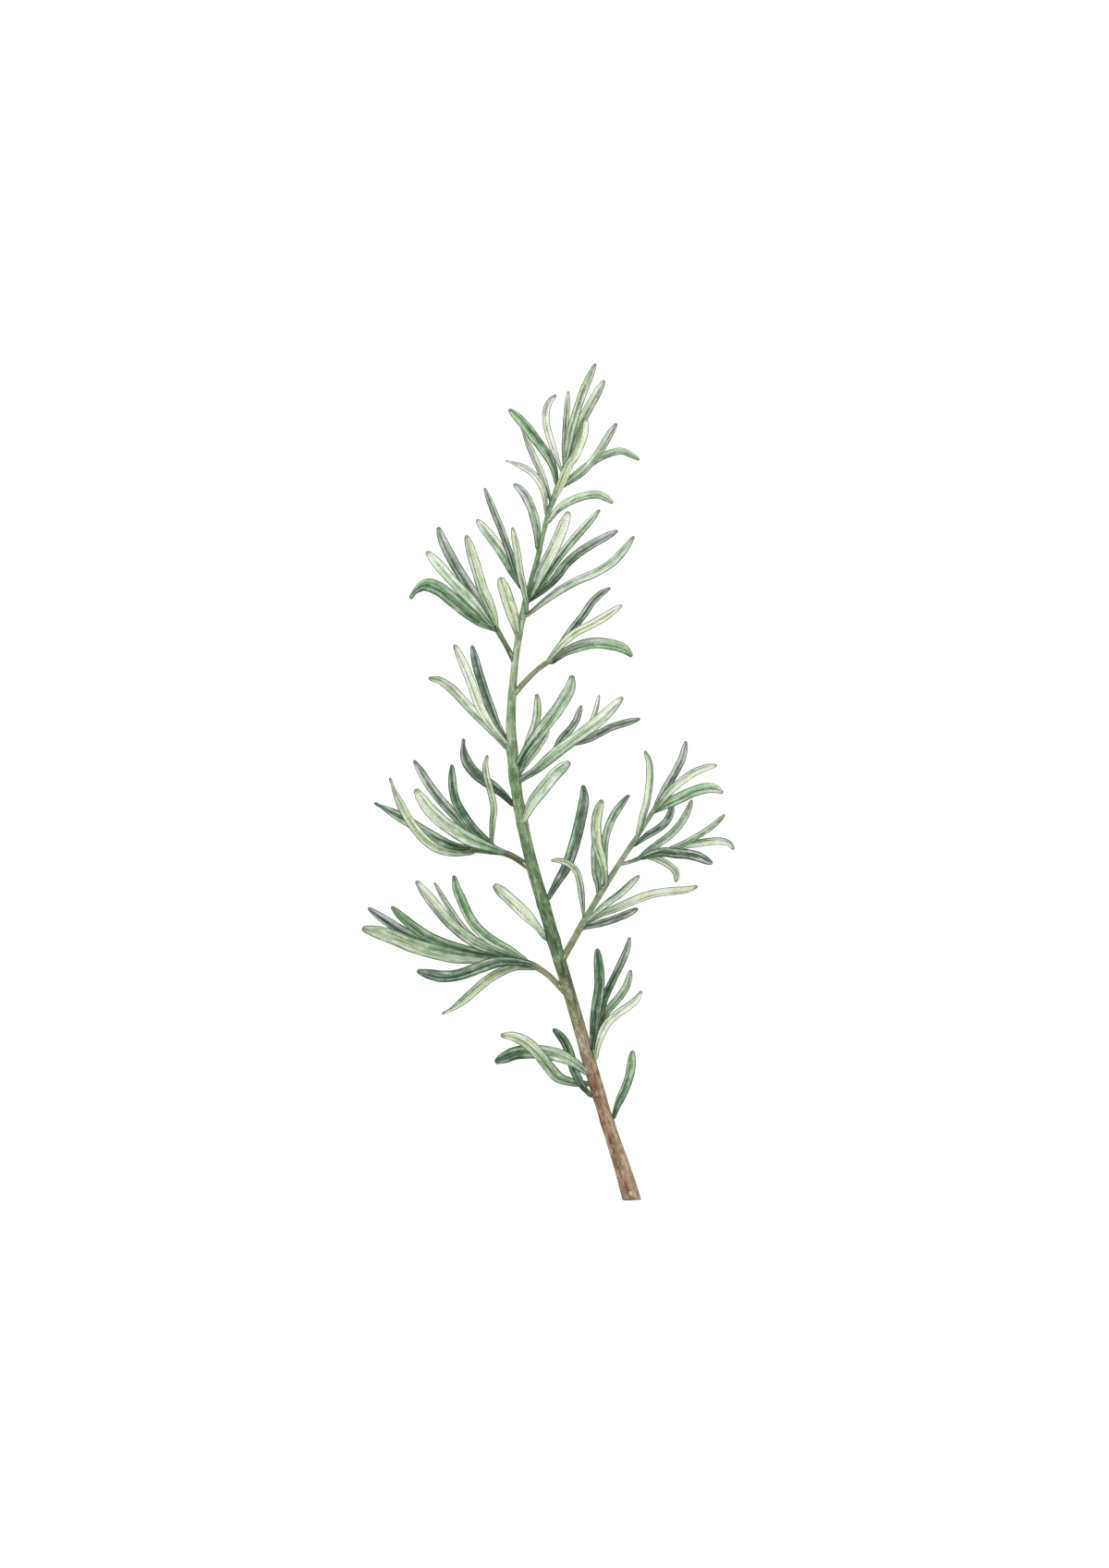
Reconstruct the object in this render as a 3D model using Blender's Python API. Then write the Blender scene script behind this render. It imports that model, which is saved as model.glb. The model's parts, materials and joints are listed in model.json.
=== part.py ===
"""A cut sprig of rosemary, lying on a flat surface, at its real size.

The sprig is a branching stem with needle-like leaves. SHOOTS gives the route of the main stem and of each
side shoot, and LEAVES the route of each leaf from its foot to its tip. All routes are in millimetres, with
+Y from the cut end towards the growing tip, +Z up, and the surface that the sprig lies on at Z 0.

Every leaf that stands by itself is an object of its own, clear of its shoot by GAP. The youngest leaves at
the end of a shoot are grown into it, so they share its object.
"""

import math

import bmesh
import bpy
import numpy as np
from mathutils import Vector

MM = 0.001
GAP = 0.32                      # clearance between one piece and the next
FOOT_CLEARANCE = 0.35           # more clearance for a side shoot's foot, as a share of its radius
STEM_SIDES = 12
SHOOT_SIDES = 8
SHOOT_STEP = 3.6                # spacing of the rings along a side shoot
STEM_STEP = 7.0                 # spacing of the rings along the main stem
ROUND_INSET, ROUND_RADIUS = 0.35, 0.72      # a rounded end's extra ring, as shares of the end's radius

# A leaf's section is a flat hexagon: (share of the half width, share of the half thickness).
LEAF_SECTION = ((1, 0), (0.52, 1), (-0.52, 1), (-1, 0), (-0.52, -1), (0.52, -1))
LEAF_RINGS = (0.035, 0.15, 0.29, 0.44, 0.60, 0.75, 0.88, 0.97)
THICK_BASE, THICK_BY_WIDTH = 0.57, 0.152    # a leaf's thickness is the first plus the second times its width
FOOT_SHARE = 0.55               # a leaf's width at its foot, as a share of its full width
WIDEST_FROM, WIDEST_TO = 0.36, 0.70     # shares of a leaf's length between which it has its full width
THIN_END = 0.35                 # a leaf's thickness where its width runs out, as a share of the full one
LEAN = math.radians(20)         # how far a blade turns its upper face towards the shoot's tip

# Linear colours, with the roughness of the finish.
TONES = {
    "leaf_dark": ((0.045, 0.085, 0.055), 0.45),
    "leaf_green": ((0.085, 0.185, 0.085), 0.45),
    "leaf_mint": ((0.21, 0.36, 0.23), 0.50),
    "leaf_olive": ((0.38, 0.45, 0.22), 0.60),
    "leaf_cream": ((0.58, 0.62, 0.40), 0.65),
    "leaf_grey": ((0.21, 0.24, 0.22), 0.60),
    "stem_green": ((0.15, 0.24, 0.09), 0.55),
    "stem_wood": ((0.24, 0.13, 0.07), 0.75),
}
UNDERSIDE_UP = ("leaf_olive", "leaf_cream")

# Each shoot: the shoot that it grows from, its tone, and its points as x, y, z and radius, from the cut end
# or the foot to the tip.
SHOOTS = {
    "stem": (None, "stem_wood", (
        (22.65, -112.6, 2.5, 2.5), (20.4, -105.0, 3.0, 2.25), (17.1, -95.0, 4.2, 1.9),
        (14.0, -85.0, 5.5, 1.8), (11.1, -75.0, 6.9, 1.75), (8.2, -65.0, 8.2, 1.72),
        (5.3, -55.0, 9.4, 1.65), (2.3, -45.0, 10.4, 1.7), (-0.5, -35.0, 11.2, 1.65),
        (-3.5, -25.0, 11.8, 1.6), (-6.0, -15.0, 12.2, 1.5), (-8.0, -5.0, 12.5, 1.45),
        (-9.3, 5.0, 12.8, 1.42), (-10.0, 15.0, 13.0, 1.3), (-9.6, 25.0, 13.2, 1.05),
        (-8.6, 35.0, 13.4, 0.9), (-7.3, 43.0, 13.5, 0.9), (-5.5, 51.0, 13.6, 0.8),
        (-3.0, 60.0, 13.8, 0.7), (-0.7, 70.0, 14.0, 0.62), (1.1, 76.0, 14.2, 0.7),
        (3.0, 80.5, 14.4, 0.85), (4.0, 83.2, 14.5, 0.8))),
    "shoot_left_high": ("stem", "stem_green", (
        (-9.2, 33.0, 13.3, 0.75), (-10.9, 36.5, 13.0, 0.7), (-12.9, 40.0, 12.8, 0.65),
        (-14.3, 42.6, 12.7, 0.6))),
    "shoot_right_high": ("stem", "stem_green", (
        (-9.6, 23.6, 13.2, 0.75), (-6.8, 26.9, 13.6, 0.75), (-4.0, 29.8, 13.9, 0.7),
        (-1.6, 31.8, 14.0, 0.65), (0.6, 33.3, 14.0, 0.6))),
    "shoot_right_mid": ("stem", "stem_green", (
        (-8.9, 0.6, 12.6, 0.6), (-4.0, 3.6, 11.8, 0.6), (1.5, 7.6, 11.2, 0.55), (6.2, 10.9, 10.8, 0.5))),
    "shoot_left_low": ("stem", "stem_green", (
        (-4.6, -23.2, 11.9, 0.85), (-8.4, -20.4, 11.5, 0.85), (-12.0, -18.8, 11.2, 0.75),
        (-16.0, -18.5, 10.8, 0.62), (-20.8, -18.0, 10.2, 0.55))),
    "shoot_left_bottom": ("stem", "stem_green", (
        (4.6, -56.6, 9.3, 0.85), (2.0, -53.8, 9.2, 0.8), (-1.0, -51.1, 9.0, 0.78),
        (-5.0, -48.8, 8.6, 0.75), (-9.0, -47.7, 8.2, 0.7), (-13.2, -47.2, 8.0, 0.6))),
    "shoot_right_fork": ("stem", "stem_green", (
        (3.2, -48.6, 10.1, 1.0), (6.0, -43.9, 10.3, 0.9), (9.2, -38.2, 10.5, 0.82),
        (11.6, -34.0, 10.5, 0.78), (14.3, -29.5, 10.5, 0.75), (17.0, -25.2, 10.4, 0.72),
        (19.6, -21.2, 10.2, 0.7), (22.0, -17.5, 10.1, 0.68), (24.2, -14.2, 10.0, 0.62),
        (26.2, -10.9, 10.0, 0.58), (28.8, -6.9, 10.0, 0.55))),
    "shoot_right_fork_side": ("shoot_right_fork", "stem_green", (
        (19.2, -22.0, 10.2, 0.5), (22.5, -21.1, 9.9, 0.5), (26.0, -19.8, 9.7, 0.5),
        (31.4, -18.4, 9.5, 0.45))),
    "shoot_right_low": ("stem", "stem_green", (
        (10.8, -73.4, 7.1, 0.55), (12.8, -70.6, 7.5, 0.55), (13.8, -67.4, 7.8, 0.5))),
    "growing_tip": ("stem", "leaf_mint", (
        (4.0, 83.2, 14.5, 0.75), (4.6, 86.6, 14.7, 0.6))),
}

# Leaves that stand by themselves: the shoot that each grows from, its full width, its tone and its points.
LEAVES = {
    "leaf_crown_1": ("growing_tip", 2.0, "leaf_cream", (
        (3.3, 85.4, 15.2), (0.8, 92.5, 17.3), (-0.6, 98.5, 18.3), (0.2, 102.5, 18.0), (2.3, 105.0, 17.0))),
    "leaf_crown_2": ("stem", 2.9, "leaf_green", (
        (2.6, 81.8, 14.8), (0.9, 87.0, 15.2), (-3.4, 93.1, 15.5), (-7.4, 98.2, 14.5), (-10.6, 101.3, 13.0))),
    "leaf_crown_3": ("stem", 1.9, "leaf_grey", (
        (0.6, 76.8, 13.4), (-1.0, 82.0, 12.0), (-3.8, 88.5, 10.5), (-7.4, 96.8, 9.5))),
    "leaf_crown_4": ("stem", 1.9, "leaf_cream", (
        (-0.3, 73.4, 14.5), (-1.2, 79.2, 15.2), (-3.9, 83.5, 16.0), (-7.2, 85.7, 16.2),
        (-11.5, 87.3, 15.0))),
    "leaf_crown_5": ("stem", 2.2, "leaf_mint", (
        (4.2, 80.4, 15.2), (9.0, 83.8, 17.0), (13.5, 89.0, 18.5), (16.5, 94.0, 19.5), (18.6, 97.2, 20.0))),
    "leaf_crown_6": ("stem", 2.1, "leaf_green", (
        (4.4, 81.4, 13.8), (10.0, 85.5, 13.5), (15.0, 88.6, 13.5), (20.0, 89.9, 12.5), (24.9, 87.6, 10.5))),
    "leaf_crown_7": ("stem", 2.4, "leaf_mint", (
        (-0.1, 71.4, 14.2), (3.3, 74.6, 15.5), (8.1, 77.1, 17.0), (13.6, 78.0, 17.0), (17.7, 75.8, 15.0))),
    "leaf_crown_8": ("stem", 2.5, "leaf_green", (
        (-2.7, 64.0, 14.3), (-3.1, 69.0, 15.0), (-4.5, 74.4, 16.5), (-6.7, 78.6, 17.0), (-9.3, 81.0, 16.5))),
    "leaf_upper_right_1": ("stem", 3.2, "leaf_cream", (
        (-4.8, 50.7, 14.8), (-1.9, 57.0, 16.5), (1.8, 63.9, 19.0), (5.7, 73.4, 21.5))),
    "leaf_upper_right_2": ("stem", 2.4, "leaf_mint", (
        (-5.2, 45.8, 13.6), (0.2, 50.1, 13.9), (6.2, 54.0, 13.8), (13.2, 57.1, 13.0), (18.7, 61.0, 12.5),
        (23.4, 67.0, 12.0))),
    "leaf_upper_left_1": ("stem", 2.0, "leaf_olive", (
        (-5.6, 46.4, 14.9), (-6.2, 51.0, 16.0), (-7.5, 57.0, 18.0), (-8.5, 63.5, 20.0), (-9.6, 69.1, 21.5))),
    "leaf_upper_left_2": ("stem", 3.4, "leaf_olive", (
        (-8.4, 40.9, 14.6), (-9.7, 46.0, 15.5), (-11.3, 51.0, 16.5), (-12.9, 55.7, 17.0))),
    "leaf_left_high_1": ("shoot_left_high", 4.0, "leaf_green", (
        (-14.6, 42.1, 12.2), (-19.0, 44.2, 11.5), (-24.7, 49.0, 9.6), (-30.7, 53.4, 6.0),
        (-34.6, 53.6, 2.9), (-37.6, 50.2, 0.0))),
    "leaf_left_high_2": ("shoot_left_high", 3.0, "leaf_olive", (
        (-16.2, 44.0, 13.5), (-19.8, 48.6, 14.4), (-25.0, 54.0, 15.0), (-29.5, 59.0, 15.0),
        (-32.9, 62.8, 14.0))),
    "leaf_right_high_1": ("shoot_right_high", 3.1, "leaf_green", (
        (1.2, 33.0, 12.9), (5.0, 35.7, 11.9), (11.1, 37.9, 9.9), (17.2, 37.7, 6.2), (20.9, 36.5, 2.7),
        (23.0, 34.6, 0.0))),
    "leaf_left_mid_1": ("stem", 2.6, "leaf_olive", (
        (-11.5, 10.0, 12.4), (-16.0, 15.2, 11.8), (-21.0, 20.3, 10.8), (-26.0, 25.6, 9.0),
        (-29.5, 28.0, 7.5), (-32.5, 28.5, 6.5))),
    "leaf_left_mid_2": ("stem", 2.6, "leaf_cream", (
        (-11.4, 11.0, 13.9), (-15.3, 15.6, 15.0), (-18.4, 20.8, 16.5), (-20.6, 27.0, 18.0),
        (-23.0, 32.8, 19.0), (-25.3, 37.6, 19.5))),
    "leaf_left_mid_3": ("stem", 2.5, "leaf_dark", (
        (-11.4, 12.6, 12.6), (-14.3, 17.3, 12.6), (-16.6, 23.5, 12.3), (-18.9, 30.5, 11.8),
        (-20.6, 37.5, 11.0))),
    "leaf_right_mid_1": ("stem", 3.5, "leaf_olive", (
        (-8.0, 5.4, 14.2), (-5.5, 9.5, 15.2), (-1.8, 14.4, 16.8), (2.8, 20.3, 19.0), (5.8, 25.4, 20.5),
        (6.6, 29.3, 21.0))),
    "leaf_right_mid_2": ("stem", 3.4, "leaf_mint", (
        (-7.3, 0.9, 13.4), (-2.5, 4.3, 14.0), (2.5, 8.6, 14.8), (8.0, 12.6, 15.3), (13.5, 16.8, 15.5),
        (20.3, 23.4, 15.0))),
    "leaf_right_mid_3": ("stem", 3.5, "leaf_mint", (
        (-6.5, -9.4, 13.7), (-4.1, -5.0, 14.6), (-0.8, -0.9, 15.3), (2.3, 2.9, 15.5), (6.0, 5.9, 15.0))),
    "leaf_left_low_1": ("stem", 3.0, "leaf_dark", (
        (-9.6, -5.3, 12.0), (-13.3, -1.9, 11.0), (-18.3, 1.6, 9.8), (-21.6, 5.1, 8.5), (-22.8, 8.8, 7.5),
        (-22.9, 12.3, 6.8))),
    "leaf_left_low_2": ("shoot_left_low", 2.0, "leaf_olive", (
        (-15.3, -17.8, 11.8), (-15.25, -15.6, 12.7), (-15.0, -11.0, 14.3), (-14.6, -6.5, 16.0),
        (-15.6, -1.5, 17.5), (-16.9, 3.5, 18.3), (-16.3, 7.8, 18.5))),
    "leaf_left_low_3": ("shoot_left_low", 2.9, "leaf_green", (
        (-21.5, -17.8, 9.9), (-26.5, -16.6, 8.8), (-32.0, -13.8, 7.5), (-38.0, -10.3, 6.0),
        (-42.5, -7.7, 4.5), (-47.3, -5.2, 3.0))),
    "leaf_left_low_4": ("shoot_left_low", 2.6, "leaf_olive", (
        (-20.8, -18.8, 10.8), (-26.0, -18.8, 11.5), (-31.0, -17.0, 12.0), (-35.2, -13.2, 12.5),
        (-38.2, -8.7, 13.0), (-41.0, -3.2, 13.2), (-42.8, 1.7, 13.0))),
    "leaf_left_low_5": ("shoot_left_low", 3.7, "leaf_olive", (
        (-12.6, -18.4, 12.6), (-16.5, -17.0, 14.4), (-21.5, -15.0, 15.0), (-27.0, -11.5, 15.4),
        (-32.0, -7.0, 15.4), (-35.9, -1.4, 14.8))),
    "leaf_left_bottom_1": ("shoot_left_bottom", 2.9, "leaf_green", (
        (-6.5, -47.5, 9.8), (-11.2, -44.5, 11.0), (-16.1, -41.9, 12.5), (-20.2, -37.7, 14.0),
        (-22.7, -32.9, 15.5), (-24.6, -28.4, 16.5), (-25.4, -24.7, 17.0))),
    "leaf_left_bottom_2": ("shoot_left_bottom", 3.1, "leaf_olive", (
        (-9.5, -46.9, 8.9), (-15.0, -45.0, 9.6), (-20.5, -42.5, 10.6), (-26.0, -38.2, 11.8),
        (-31.0, -32.3, 12.8), (-35.7, -26.2, 13.0))),
    "leaf_left_bottom_3": ("shoot_left_bottom", 4.1, "leaf_olive", (
        (-14.0, -47.8, 9.3), (-20.0, -47.3, 9.3), (-27.0, -46.4, 9.8), (-35.0, -44.3, 10.0),
        (-43.0, -41.2, 9.2), (-50.5, -39.2, 7.8))),
    "leaf_left_bottom_4": ("shoot_left_bottom", 3.2, "leaf_dark", (
        (-5.0, -48.8, 9.8), (-9.0, -48.1, 10.8), (-14.0, -48.4, 11.2), (-18.5, -49.8, 10.6),
        (-23.5, -51.7, 8.5), (-29.0, -52.3, 5.5), (-35.7, -50.9, 2.6))),
    "leaf_left_bottom_5": ("shoot_left_bottom", 2.6, "leaf_olive", (
        (-4.2, -49.8, 8.2), (-8.5, -49.8, 7.8), (-12.6, -51.0, 7.0), (-16.8, -53.6, 5.5),
        (-21.2, -57.4, 3.3), (-25.0, -60.6, 1.3), (-28.9, -62.7, 0.0))),
    "leaf_left_bottom_6": ("stem", 3.3, "leaf_cream", (
        (-1.9, -40.0, 10.6), (-4.6, -36.8, 10.8), (-8.0, -33.4, 11.0), (-11.5, -30.2, 11.3),
        (-14.7, -27.3, 11.0))),
    "leaf_right_fork_1": ("shoot_right_fork", 2.1, "leaf_cream", (
        (23.9, -15.2, 10.8), (25.3, -10.0, 13.0), (26.8, -4.5, 15.0), (27.5, 1.5, 16.5),
        (27.3, 5.8, 17.2), (26.1, 8.9, 17.5))),
    "leaf_right_fork_2": ("shoot_right_fork", 2.1, "leaf_dark", (
        (23.6, -16.4, 9.6), (27.0, -14.0, 9.0), (30.8, -11.6, 8.3), (33.0, -8.7, 7.8), (33.8, -5.3, 7.3))),
    "leaf_right_fork_3": ("shoot_right_fork", 2.9, "leaf_olive", (
        (15.6, -27.4, 11.3), (15.0, -22.0, 12.7), (13.5, -17.0, 14.0), (13.0, -12.0, 15.3),
        (13.4, -8.0, 16.0), (14.7, -4.3, 16.5))),
    "leaf_right_fork_4": ("stem", 3.1, "leaf_dark", (
        (0.0, -30.6, 11.2), (2.5, -26.8, 10.8), (5.0, -22.5, 10.5), (7.0, -17.0, 10.0), (8.6, -10.5, 9.5),
        (9.8, -4.5, 9.0), (9.5, -0.3, 8.5))),
    "leaf_right_fork_5": ("shoot_right_fork", 1.9, "leaf_olive", (
        (10.0, -35.9, 11.0), (9.2, -31.0, 12.3), (8.7, -27.0, 13.3), (7.4, -23.3, 13.8),
        (4.5, -21.1, 13.8), (0.8, -20.8, 13.2))),
    "leaf_right_fork_6": ("shoot_right_fork", 2.0, "leaf_mint", (
        (11.0, -36.4, 10.9), (15.0, -33.2, 11.8), (20.0, -29.4, 12.5), (24.8, -24.8, 12.8))),
    "leaf_right_fork_7": ("shoot_right_fork", 2.4, "leaf_cream", (
        (10.6, -37.6, 10.3), (15.0, -35.2, 9.9), (20.5, -32.9, 9.0), (26.0, -30.6, 7.6),
        (31.0, -29.4, 5.9), (36.5, -29.0, 4.0), (40.8, -27.9, 2.6))),
    "leaf_right_fork_8": ("shoot_right_fork", 2.1, "leaf_grey", (
        (9.6, -39.2, 9.7), (14.5, -37.8, 8.7), (19.5, -36.2, 7.2), (24.5, -33.9, 5.8))),
    "leaf_right_fork_9": ("shoot_right_fork_side", 2.8, "leaf_dark", (
        (25.8, -20.0, 10.9), (30.0, -18.6, 11.6), (35.0, -18.9, 11.2), (40.0, -19.6, 9.5),
        (44.7, -21.7, 7.5))),
    "leaf_right_low_1": ("stem", 2.9, "leaf_dark", (
        (11.9, -71.9, 8.7), (12.5, -66.0, 10.3), (13.2, -60.0, 11.8), (14.0, -54.0, 13.0),
        (13.7, -49.0, 13.8), (13.3, -44.5, 14.3))),
    "leaf_right_low_2": ("stem", 2.4, "leaf_cream", (
        (12.9, -74.4, 8.2), (14.0, -69.2, 9.2), (16.2, -64.8, 9.6), (19.6, -61.8, 9.3),
        (23.2, -59.4, 8.6), (25.5, -56.2, 8.0))),
    "leaf_foot_left_1": ("stem", 3.3, "leaf_olive", (
        (11.0, -81.5, 5.0), (7.0, -81.2, 4.6), (3.0, -79.8, 6.0), (-0.2, -76.2, 8.5), (-3.6, -72.0, 11.0),
        (-7.7, -68.9, 12.0), (-12.9, -68.1, 11.5))),
    "leaf_foot_left_2": ("stem", 3.9, "leaf_green", (
        (10.5, -78.0, 7.6), (6.5, -75.3, 8.2), (2.0, -73.4, 7.5), (-3.0, -72.8, 6.3), (-8.6, -73.1, 4.5),
        (-14.5, -75.7, 2.8))),
    "leaf_foot_left_3": ("stem", 2.5, "leaf_dark", (
        (11.4, -84.4, 6.4), (9.2, -81.8, 7.2), (7.0, -77.5, 6.3), (5.8, -72.8, 5.2), (4.0, -69.2, 5.0),
        (1.3, -66.5, 5.3))),
    "leaf_foot_right_1": ("stem", 2.5, "leaf_mint", (
        (17.3, -90.7, 5.0), (19.0, -87.0, 5.5), (20.8, -83.0, 6.0), (22.3, -78.5, 6.3), (23.0, -72.3, 6.3))),
}

# Leaves grown into the end of their shoot, or, where the name is a pair's, into each other.
GROWN_LEAVES = {
    "growing_tip": (
        (2.3, "leaf_olive", (
            (4.4, 85.2, 14.9), (6.2, 95.0, 17.5), (9.3, 105.0, 19.5), (12.9, 113.3, 20.5))),
        (2.6, "leaf_grey", (
            (4.4, 85.2, 14.5), (7.6, 95.0, 14.3), (11.4, 102.2, 14.2), (15.3, 109.1, 14.5))),
        (1.7, "leaf_grey", (
            (4.2, 85.4, 14.4), (4.7, 95.0, 12.5), (5.5, 106.3, 11.5))),
        (2.5, "leaf_olive", (
            (4.4, 84.6, 14.8), (7.5, 88.8, 16.6), (9.5, 94.0, 17.7), (10.2, 98.7, 18.0))),
    ),
    "shoot_left_high": (
        (2.9, "leaf_olive", (
            (-13.6, 41.3, 12.9), (-15.0, 46.5, 14.6), (-17.6, 52.5, 16.0), (-19.6, 59.0, 17.0),
            (-22.1, 67.1, 17.5))),
        (2.9, "leaf_dark", (
            (-14.0, 42.0, 12.6), (-20.3, 51.7, 12.4), (-25.4, 59.7, 11.8), (-28.6, 66.1, 10.5),
            (-29.8, 69.6, 9.5))),
    ),
    "shoot_right_high": (
        (2.3, "leaf_cream", (
            (-0.3, 32.6, 14.1), (3.0, 36.8, 15.0), (7.5, 40.8, 15.8), (13.5, 43.9, 16.0),
            (20.1, 48.3, 15.5))),
        (2.1, "leaf_dark", (
            (0.2, 33.0, 13.9), (5.7, 40.6, 12.2), (9.6, 45.6, 11.0), (12.8, 50.1, 10.2), (17.0, 53.1, 9.5))),
    ),
    "shoot_right_mid": (
        (2.0, "leaf_grey", (
            (0.5, 6.9, 11.3), (3.8, 12.2, 11.2), (7.2, 16.2, 11.0), (9.1, 21.2, 10.5))),
        (2.1, "leaf_dark", (
            (5.2, 10.2, 10.9), (11.1, 12.1, 9.8), (17.1, 15.2, 8.2), (25.1, 17.6, 6.5))),
        (1.4, "leaf_olive", (
            (5.6, 10.5, 10.9), (10.5, 14.6, 12.0), (12.6, 18.8, 12.6), (13.9, 24.0, 12.8))),
    ),
    "shoot_left_low": (
        (2.6, "leaf_grey", (
            (-17.0, -18.4, 10.7), (-21.0, -13.3, 10.8), (-26.5, -7.3, 10.5), (-31.5, -1.3, 9.8),
            (-36.4, 6.4, 9.0))),
        (2.6, "leaf_green", (
            (-13.4, -18.7, 11.1), (-17.3, -14.9, 11.2), (-21.0, -11.6, 11.6), (-23.8, -7.2, 11.9),
            (-25.6, -2.0, 12.1), (-26.0, 5.3, 12.0))),
    ),
    "shoot_left_bottom": (
        (1.7, "leaf_grey", (
            (-12.0, -47.3, 8.1), (-20.5, -41.5, 8.6), (-26.0, -34.8, 8.5), (-30.9, -26.7, 8.0))),
        (2.8, "leaf_green", (
            (-12.4, -47.2, 8.1), (-18.0, -46.1, 8.2), (-25.0, -44.4, 8.0), (-31.0, -42.2, 7.6),
            (-37.1, -38.3, 7.0), (-42.6, -33.3, 6.2))),
        (2.8, "leaf_grey", (
            (-12.6, -47.3, 7.9), (-20.0, -46.4, 6.4), (-28.0, -44.8, 5.4), (-35.0, -42.4, 4.5),
            (-42.0, -38.5, 3.6), (-49.0, -33.7, 2.8))),
    ),
    "shoot_right_fork": (
        (2.2, "leaf_grey", (
            (28.3, -7.7, 10.0), (31.5, -2.0, 10.5), (34.3, 2.8, 10.5), (36.4, 7.0, 10.2),
            (37.4, 11.6, 9.8))),
        (2.2, "leaf_cream", (
            (28.4, -7.5, 10.1), (32.5, -2.6, 11.8), (37.0, 1.3, 13.0), (41.2, 3.8, 13.5),
            (45.8, 5.0, 13.3))),
        (3.0, "leaf_green", (
            (27.4, -8.9, 10.1), (32.0, -5.7, 10.4), (36.0, -3.7, 10.0), (41.0, -1.6, 8.5),
            (45.0, -1.3, 6.5), (47.6, -2.5, 5.0))),
        (2.2, "leaf_mint", (
            (15.4, -27.8, 10.4), (15.2, -20.0, 10.9), (15.6, -14.5, 11.0), (17.2, -9.8, 11.0),
            (19.6, -6.0, 10.8), (22.1, -3.0, 10.5))),
        (2.6, "leaf_green", (
            (14.2, -29.7, 10.3), (13.2, -25.0, 9.0), (12.9, -20.0, 7.8), (13.1, -14.0, 7.0))),
    ),
    "shoot_right_fork_side": (
        (2.1, "leaf_mint", (
            (23.6, -20.7, 9.9), (28.0, -17.6, 10.6), (31.5, -15.2, 11.2), (35.0, -12.0, 11.5),
            (37.5, -8.3, 11.5), (39.0, -4.3, 11.3))),
        (1.7, "leaf_green", (
            (30.3, -18.6, 9.6), (36.0, -16.6, 9.4), (41.5, -13.6, 9.6), (45.0, -11.2, 9.6),
            (48.0, -8.3, 9.4))),
        (2.1, "leaf_cream", (
            (30.8, -18.5, 9.5), (36.0, -17.0, 8.4), (41.0, -16.2, 7.3), (45.5, -15.6, 6.1),
            (49.0, -16.2, 5.0), (50.5, -18.0, 4.0))),
        (2.1, "leaf_mint", (
            (26.3, -19.7, 9.6), (29.8, -20.6, 8.0), (32.6, -22.0, 5.8), (34.8, -24.2, 3.0),
            (34.9, -26.9, 0.0))),
    ),
    "shoot_right_low": (
        (2.1, "leaf_dark", (
            (13.3, -69.0, 7.7), (14.3, -62.0, 8.3), (16.3, -56.0, 8.8), (19.4, -49.6, 9.0),
            (21.4, -45.0, 9.0), (22.2, -41.5, 8.8))),
        (2.2, "leaf_mint", (
            (13.6, -68.2, 7.7), (15.5, -62.6, 7.0), (18.5, -58.9, 6.3), (21.3, -55.0, 5.8),
            (22.5, -50.5, 5.2))),
    ),
    "leaf_pair_upper_right": (
        (2.2, "leaf_mint", (
            (-4.2, 49.8, 13.5), (-0.5, 56.0, 14.5), (4.0, 62.5, 14.8), (9.0, 68.3, 14.5),
            (14.1, 74.1, 13.5))),
        (2.5, "leaf_dark", (
            (-4.2, 49.6, 13.2), (-2.5, 51.5, 13.3), (0.9, 54.1, 12.4), (5.0, 59.5, 11.3),
            (10.3, 63.8, 10.5), (19.0, 68.6, 9.0))),
    ),
    "leaf_pair_upper_left": (
        (2.9, "leaf_cream", (
            (-6.5, 51.0, 13.5), (-9.5, 57.5, 13.4), (-13.8, 64.5, 13.5), (-19.3, 71.5, 13.0))),
        (2.0, "leaf_grey", (
            (-6.5, 51.2, 13.8), (-9.3, 59.0, 15.2), (-12.0, 67.0, 16.0), (-14.8, 74.0, 16.3),
            (-17.2, 80.0, 16.0))),
    ),
    "leaf_pair_right_mid": (
        (2.3, "leaf_olive", (
            (-7.9, 3.7, 12.9), (-5.4, 10.5, 13.0), (-3.5, 16.0, 13.2), (-2.8, 20.0, 13.0),
            (-3.0, 24.3, 12.5))),
        (2.1, "leaf_olive", (
            (-7.9, 3.5, 12.8), (-5.2, 6.6, 12.5), (-2.2, 10.7, 12.2), (0.2, 14.6, 11.5))),
    ),
}
PAIRS_GROW_FROM = "stem"

# Leaves that end in a sharp point. The others are blunt.
POINTED = {
    "leaf_crown_4", "leaf_left_high_1", "leaf_left_low_1", "leaf_left_low_3",
    "leaf_left_low_4", "leaf_left_bottom_5", "leaf_crown_3",
}


def smooth(points):
    """A function of 0 to 1 that runs evenly along a smooth curve through the points, and its length."""
    knots = np.array(points, float)
    ends = np.vstack([2 * knots[0] - knots[1], knots, 2 * knots[-1] - knots[-2]])
    dense = []
    for i in range(len(knots) - 1):
        a, b, c, d = ends[i:i + 4]
        for t in np.linspace(0, 1, 24, endpoint=False):
            dense.append(0.5 * (2 * b + (c - a) * t + (2 * a - 5 * b + 4 * c - d) * t ** 2
                                + (3 * b - a - 3 * c + d) * t ** 3))
    dense.append(knots[-1])
    dense = np.array(dense)
    steps = np.linalg.norm(np.diff(dense[:, :3], axis=0), axis=1)
    along = np.concatenate([[0], np.cumsum(steps)])

    def at(share):
        return np.array([np.interp(share * along[-1], along, dense[:, k]) for k in range(dense.shape[1])])

    return at, along[-1]


def direction(at, share):
    """The unit tangent of a route at a share of its length."""
    ahead = at(min(share + 0.02, 1))[:3] - at(max(share - 0.02, 0))[:3]
    return Vector(ahead).normalized()


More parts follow.
